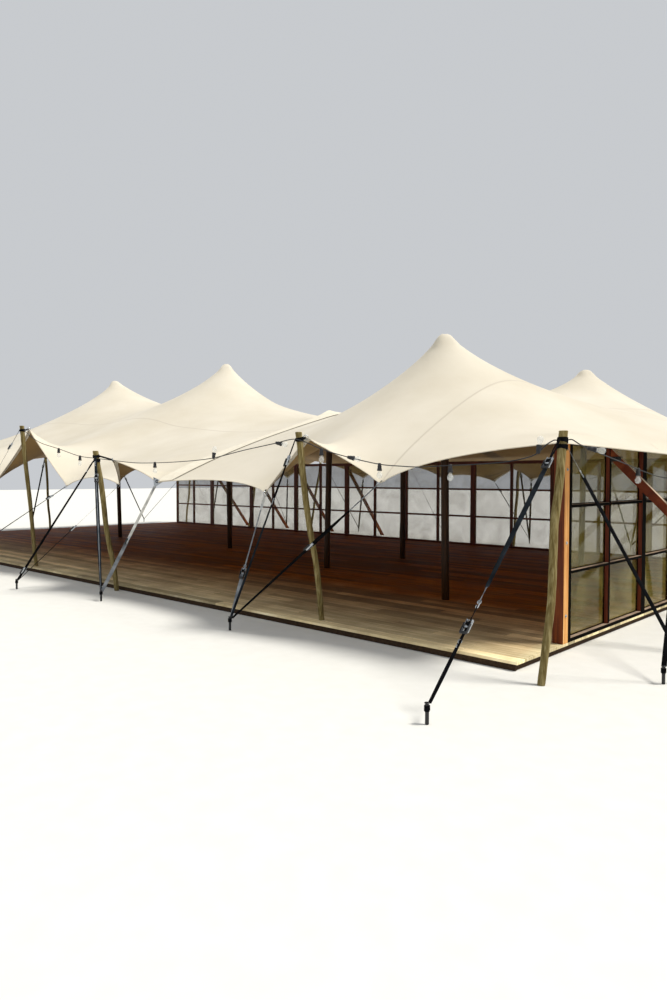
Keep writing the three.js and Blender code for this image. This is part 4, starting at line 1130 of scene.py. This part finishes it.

# Joist and rim: rough-sawn softwood, coloured near-black brown as painted shade for the dark gap
# under the deck's edge.
sawn_joist = wood(
    "painted_shade_sawn_joist", [(0.3, "1f150c"), (0.55, "3c2a19"), (0.78, "564028")], (60, 2.5, 60), 0.9,
    0.003,
)


def timber(low, high, arris, materials):
    """A planed timber between two corners, its arrises taken off."""
    low, high = Vector(low), Vector(high)
    bpy.ops.mesh.primitive_cube_add(size=1, location=(low + high) / 2, scale=high - low)
    bpy.ops.object.transform_apply(location=True, scale=True)
    return bevelled(arris, 1, materials)


def repeated(name, pattern, places, materials, stretches=None, maps=None):
    """One piece of many copies of a pattern mesh, each moved and, along X, stretched."""
    shape = np.array([v.co for v in pattern.vertices])
    faces = [tuple(face.vertices) for face in pattern.polygons]
    count = len(places)
    points = np.repeat(shape[None], count, 0)
    if stretches is not None:
        points[..., 0] += np.sign(shape[:, 0]) * (np.asarray(stretches)[:, None] / 2)
    points += np.asarray(places)[:, None]
    every = [tuple(v + k * len(shape) for v in face) for k in range(count) for face in faces]
    flat = points.reshape(-1, 3)
    laid = None if maps is None else flat[:, :2] + np.repeat(maps, len(shape), 0)
    made = mesh_object(name, flat, every, materials, laid, "boards")
    made.data.shade_flat()
    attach(made, "root")
    return made


dice = np.random.default_rng(18)
joists = np.append(np.arange(0, DECK_LENGTH, JOIST_SPACING), DECK_LENGTH - JOIST_WIDTH / 2)
joists[0] = JOIST_WIDTH / 2
board_width = row_pitch - BOARD_GAP
half = Vector((BOARD_LENGTH / 2, board_width / 2, 0))
board = timber(-half - UP * BOARD_THICKNESS, half, 0.0022, [])
places, stretches, heads = [], [], []
for row in range(BOARD_ROWS):
    v = (row + 0.5) * row_pitch
    first_cut = JOIST_SPACING * (1 + 2 * (row % 3)) + 0.6 * (row % 2)
    cuts = [0, *np.arange(first_cut, DECK_LENGTH - 0.5, BOARD_LENGTH), DECK_LENGTH]
    for low, high in zip(cuts, cuts[1:]):
        long = high - low - 0.002
        places.append(at((low + high) / 2, v, DECK_TOP))
        stretches.append(long - BOARD_LENGTH)
    heads += [
        at(u, v + side, DECK_TOP - 0.0006) for u in joists for side in (-SCREW_APART, SCREW_APART)
    ]
maps = dice.uniform(0, 40, (len(places), 2))
deck = repeated("deck_boards", board.data, places, [deck_board], stretches, maps)
tones = deck.data.attributes.new("board_tone", "FLOAT", "POINT")
board_tones = dice.uniform(0.6, 1.45, len(places))
tones.data.foreach_set("value", np.repeat(board_tones, len(board.data.vertices)))
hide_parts("floor_deck")
bpy.data.objects.remove(board)

bpy.ops.mesh.primitive_cone_add(vertices=6, radius1=0.003, radius2=0.0042, depth=0.002)
screw = bpy.context.object
repeated("deck_screws", screw.data, heads, [deck_screw])
bpy.data.objects.remove(screw)

low_joist, high_joist = 0.001, DECK_TOP - BOARD_THICKNESS - JOINT_GAP
half_width, half_length = JOIST_WIDTH / 2, DECK_DEPTH / 2 - JOIST_SETBACK
joist = timber(
    (-half_width, -half_length, low_joist), (half_width, half_length, high_joist), 0.002, []
)
places = [at(u, DECK_DEPTH / 2) for u in joists]
places[0].x -= 0.03
places[-1].x += 0.03
repeated("deck_joists", joist.data, places, [sawn_joist])
bpy.data.objects.remove(joist)

# Rim boards close the deck's edge behind the overhang, in its shadow; their near-black colour is
# painted shade.
front_rim = (JOIST_SETBACK - JOINT_GAP - RIM_WIDTH, JOIST_SETBACK - JOINT_GAP)
rear_rim = (DECK_DEPTH - front_rim[1], DECK_DEPTH - front_rim[0])
for edge, (near, far) in {"front": front_rim, "rear": rear_rim}.items():
    low, high = at(DECK_LENGTH - 0.02, near, low_joist), at(0.02, far, high_joist)
    rim = timber(low, high, 0.002, [sawn_joist])
    rim.name = f"deck_rim_{edge}"
    rim.select_set(False)
    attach(rim, "root")

# ------------------------------------------------------------------ window walls
# The back and right walls are rows of storey-high timber frames, bolted stile to stile. A
# frame has a thin middle bar and four rails, and each of its six openings holds a clear pane
# between two rings of mitred beads. Inside it is oiled red, outside stained nearly black.
BAY, WALL_TOP, WALL_DEPTH, STILE, MIDDLE_BAR = 2.0, 2.059, 0.07, 0.0595, 0.045
RAILS = [(0.0833, 0.122), (0.745, 0.775), (1.385, 1.415), (1.995, WALL_TOP)]
PANE_FACE, PANE_THICKNESS, BEAD_WIDTH, BEAD_DEPTH = 0.012, 0.004, 0.006, 0.009
BRACE_TOP, BRACE_WIDTH, BRACE_DEPTH = 2.0, 0.045, 0.09
BACK_BRACE_REACH, RIGHT_BRACE_REACH = 1.64, 2.04

# Oiled hardwood inside, deep red brown with darker grain and a soft sheen; the outside is the
# same timber under a thin near-black stain. Upright and level parts each have their own grain.
RED_STOPS = [(0.3, "3a1208"), (0.52, "662a14"), (0.74, "8c4222")]
BLACK_STOPS = [(0.3, "020101"), (0.52, "060402"), (0.74, "0f0a05")]
upright, lying = (
    [
        wood("oiled_hardwood_" + lie, RED_STOPS, grain, 0.42, 0.001),
        wood("stained_hardwood_" + lie, BLACK_STOPS, grain, 0.8, 0.001, 0.03),
    ]
    for lie, grain in (("upright", (60, 60, 2.5)), ("level", (2.5, 2.5, 60)))
)

# The rails' top faces carry a pale painted highlight.
LIT_RAIL_TOP_STOPS = [(0.3, "6b5646"), (0.52, "9a8470"), (0.74, "c4b29c")]
lying.append(wood("painted_light_rail_top", LIT_RAIL_TOP_STOPS, (2.5, 60, 60), 0.8, 0.001))

# Raking braces: sawn softwood under a red-brown wood stain, worn paler along the grain, which runs
# down the brace. The upper edge carries a pale painted highlight.
BRACE_STOPS = [(0.3, "3c1606"), (0.52, "66290f"), (0.76, "94502a")]
LIT_EDGE_STOPS = [(0.3, "8c7660"), (0.52, "b8a68e"), (0.76, "dccfb8")]
back_braces, right_braces = (
    [
        wood("stained_brace_" + side, BRACE_STOPS, grain, 0.7, 0.002),
        wood("painted_highlight_edge_" + side, LIT_EDGE_STOPS, grain, 0.85, 0.002),
    ]
    for side, grain in (("back", (60, 4, 4)), ("right", (4, 60, 4)))
)

# Window pane: clear float glass with dusty smears and a hard gloss; its olive colour is a painted
# reflection.
window_pane, node = new_material("clear_float_glass")
place = node("TexCoord").outputs["Object"]
smears = node("TexNoise", {"Vector": place, "Scale": 2.2, "Detail": 5.0, "Distortion": 0.8})
veil = node("MapRange", {
    "Value": smears, "From Min": 0.35, "From Max": 0.75, "To Min": 0.32, "To Max": 0.44,
})
# The olive stops are painted reflection, varied by the dusty smears.
dust_and_painted_reflection = node("ValToRGB", {"Fac": smears}, stops=[(0.35, "5e5822"), (0.75, "8a8044")])
gloss = node("MapRange", {"Value": smears, "To Min": 0.02, "To Max": 0.06})
shader = node("BsdfPrincipled", {
    "Base Color": dust_and_painted_reflection, "Roughness": gloss, "IOR": 1.5, "Specular IOR Level": 0.3, "Alpha": veil,
})
node("OutputMaterial", {"Surface": shader})


def framed(low, high, materials):
    """A bar of a frame, oiled on its inner face and sides and stained on its outer face; a third
    finish, if given, puts a painted highlight on its top face.
    """
    made = timber(low, high, 0.0018, materials)
    for face in made.data.polygons:
        face.material_index = int(face.normal.y > 0.6)
        # Upward-facing faces take the painted highlight finish.
        if face.normal.z > 0.6 and len(materials) > 2:
            face.material_index = 2
    return made


def bead(x, z, y, outer):
    """A ring of mitred bead round an opening: a plane inset, emptied and drawn out."""
    bpy.ops.mesh.primitive_plane_add(size=1, location=(sum(x) / 2, y, sum(z) / 2), rotation=ACROSS)
    made = bpy.context.object
    made.scale = (x[1] - x[0] - 0.0006, z[1] - z[0] - 0.0006, 1)
    bpy.ops.object.transform_apply(location=True, rotation=True, scale=True)
    bpy.ops.object.mode_set(mode="EDIT")
    bpy.ops.mesh.select_all(action="SELECT")
    bpy.ops.mesh.inset(thickness=BEAD_WIDTH)
    bpy.ops.mesh.delete(type="FACE")
    bpy.ops.mesh.select_all(action="SELECT")
    bpy.ops.mesh.extrude_region_move(TRANSFORM_OT_translate={"value": (0, BEAD_DEPTH, 0)})
    bpy.ops.object.mode_set(mode="OBJECT")
    made.data.materials.append(upright[outer])
    return made


def window_unit(length):
    """The meshes of one frame and of its panes, X along it, Y to the outside."""
    parts, panes = [], []
    for x in (JOINT_GAP, length - STILE):
        corner = (x + STILE - JOINT_GAP, WALL_DEPTH, WALL_TOP)
        parts.append(framed((x, 0, RAILS[0][0]), corner, upright))
    left, right = BAY / 2 - MIDDLE_BAR / 2, BAY / 2 + MIDDLE_BAR / 2
    top = (right, WALL_DEPTH - 0.005, RAILS[3][0])
    parts.append(framed((left, 0.005, RAILS[0][1]), top, upright))
    for low, high in (RAILS[0], RAILS[3]):
        parts.append(framed((STILE, 0, low), (length - STILE, WALL_DEPTH, high), lying))
    sides = [(STILE, left), (right, length - STILE)]
    for low, high in RAILS[1:3]:
        for x in sides:
            parts.append(framed((x[0], 0.003, low), (x[1], WALL_DEPTH - 0.003, high), lying))
    for below, over in zip(RAILS, RAILS[1:]):
        z = (below[1], over[0])
        for x in sides:
            parts.append(bead(x, z, PANE_FACE - BEAD_DEPTH - JOINT_GAP, 0))
            parts.append(bead(x, z, PANE_FACE + PANE_THICKNESS + JOINT_GAP, 1))
            low = (x[0] + 0.002, PANE_FACE, z[0] + 0.002)
            high = (x[1] - 0.002, PANE_FACE + PANE_THICKNESS, z[1] - 0.002)
            panes.append(timber(low, high, 0.0006, [window_pane]))
    return fitting(parts), fitting(panes)


def raking_brace(reach, finishes):
    """A brace from the wall's outside down to the ground, sawn to fit the wall and the ground."""
    run = reach - WALL_DEPTH + 0.01
    rake = math.hypot(run, BRACE_TOP)
    inward = Vector((0, -BRACE_TOP, -run)) / rake
    middle = Vector((0, reach - run / 2, BRACE_TOP / 2)) + inward * BRACE_DEPTH / 2
    bpy.ops.mesh.primitive_cube_add(
        size=1, location=middle, rotation=(-math.atan2(BRACE_TOP, run), 0, 0),
        scale=(BRACE_WIDTH, rake + 0.4, BRACE_DEPTH),
    )
    bpy.ops.object.transform_apply(location=True, rotation=True, scale=True)
    made = bevelled(0.0025, 1, finishes)
    bpy.ops.object.mode_set(mode="EDIT")
    for spot, way in (((0, WALL_DEPTH + JOINT_GAP, 0), (0, 1, 0)), ((0, 0, 0.001), (0, 0, 1))):
        bpy.ops.mesh.select_all(action="SELECT")
        bpy.ops.mesh.bisect(plane_co=spot, plane_no=way, use_fill=True, clear_inner=True)
    bpy.ops.object.mode_set(mode="OBJECT")
    # The upward-facing face takes the pale painted highlight finish.
    for face in made.data.polygons:
        face.material_index = int(face.normal.y > 0.3 and face.normal.z > 0.3)
    parts, height = [made], BRACE_TOP - 0.13
    for side in (-1, 1):
        spot = (side * (BRACE_WIDTH / 2 + 0.002), WALL_DEPTH + 0.056, height)
        parts.append(plate((0.003, 0.11, 0.05), spot, 0.001, japanned))
    for away in (0.035, 0.085):
        spot = (0, WALL_DEPTH + away, height)
        parts.append(rod(0.009, BRACE_WIDTH + 0.022, spot, LYING, japanned, 6))
    return fitting(parts)


frame_mesh, pane_mesh = window_unit(BAY)
brace_mesh = raking_brace(BACK_BRACE_REACH, back_braces)
BACK_FACE, RUN_LENGTH, RUN_BAYS = 8.955, 6, 3
back_runs = {"left": (2.0, 4.0), "middle": (0.0225, 2.0), "right": ()}
for run, (side, braces) in enumerate(back_runs.items()):
    run_start = 18 - RUN_LENGTH * run
    for bay in range(RUN_BAYS):
        place = (at(run_start - BAY * bay, BACK_FACE), ALONG_X, ALONG_Y)
        unit = copied(frame_mesh, f"back_window_frame_{side}_{bay + 1}", *place, "frame_timber")
        panes = copied(pane_mesh, f"back_window_panes_{side}_{bay + 1}", *place, "window_glass")
        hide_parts(f"back_window_frame_{side}")
        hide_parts("back_window_glass")
    for number, x in enumerate(braces, 1):
        spot = at(run_start - x, BACK_FACE)
        copied(brace_mesh, f"back_brace_{side}_{number}", spot, ALONG_X, ALONG_Y, "frame_timber")

RIGHT_START, right_length = 0.99, BACK_FACE - 0.0003 - 0.99
short_frame, short_panes = window_unit(right_length - 3 * BAY)
long_brace = raking_brace(RIGHT_BRACE_REACH, right_braces)
patterns = [(frame_mesh, pane_mesh)] * 3 + [(short_frame, short_panes)]
for bay, (frame_of, panes_of) in enumerate(patterns):
    end = BAY * (bay + 1) if bay < 3 else right_length
    place = (at(WALL_DEPTH, RIGHT_START + end), -ALONG_Y, ALONG_X)
    unit = copied(frame_of, f"right_window_frame_{bay + 1}", *place, "frame_timber")
    panes = copied(panes_of, f"right_window_panes_{bay + 1}", *place, "window_glass")
    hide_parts("right_window_frame")
    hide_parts("right_window_glass")
    if bay < 3:
        spot = at(WALL_DEPTH, RIGHT_START + BAY * (bay + 0.5))
        copied(long_brace, f"right_brace_{bay + 1}", spot, -ALONG_Y, ALONG_X, "frame_timber")

# ------------------------------------------------------------------ corner post
# A square hardwood post closes the open end of the right wall. It stands on the deck and is
# bolted through to the first frame.
POST_SIZE, POST_TOP = 0.11, 2.069

# Corner post: new hardwood under clear oil, orange brown with long dark grain, satin. Its front
# face carries a painted shade in deep red brown.
post_finishes = [
    wood(name + "_orange_hardwood", list(zip((0.3, 0.52, 0.76), tones)), (45, 45, 2.0), 0.5, 0.001)
    for name, *tones in (
        ("oiled", "a8642a", "dc9c50", "f8d090"), ("front_painted_shade", "441600", "642800", "88440a"),
    )
]
post_end = RIGHT_START - 0.0003
low, high = at(POST_SIZE, post_end - POST_SIZE, 0.0833), at(0, post_end, POST_TOP)
parts = [timber(low, high, 0.004, post_finishes)]
# Faces turned to the front take the painted shade finish, a darker copy of the oil.
for face in parts[0].data.polygons:
    face.material_index = int(face.normal.y < -0.6)
for height in (0.35, 1.05, 1.75):
    spot = at(0, post_end - POST_SIZE / 2, height)
    for radius, length, out, sides in ((0.016, 0.003, 0.0012, 16), (0.0095, 0.009, 0.007, 6)):
        parts.append(rod(radius, length, spot + ALONG_X * out, LYING, zinc, sides))
post = copied(fitting(parts), "corner_post_timber", Vector(), ALONG_X, ALONG_Y, "post_timber")
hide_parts("corner_post")
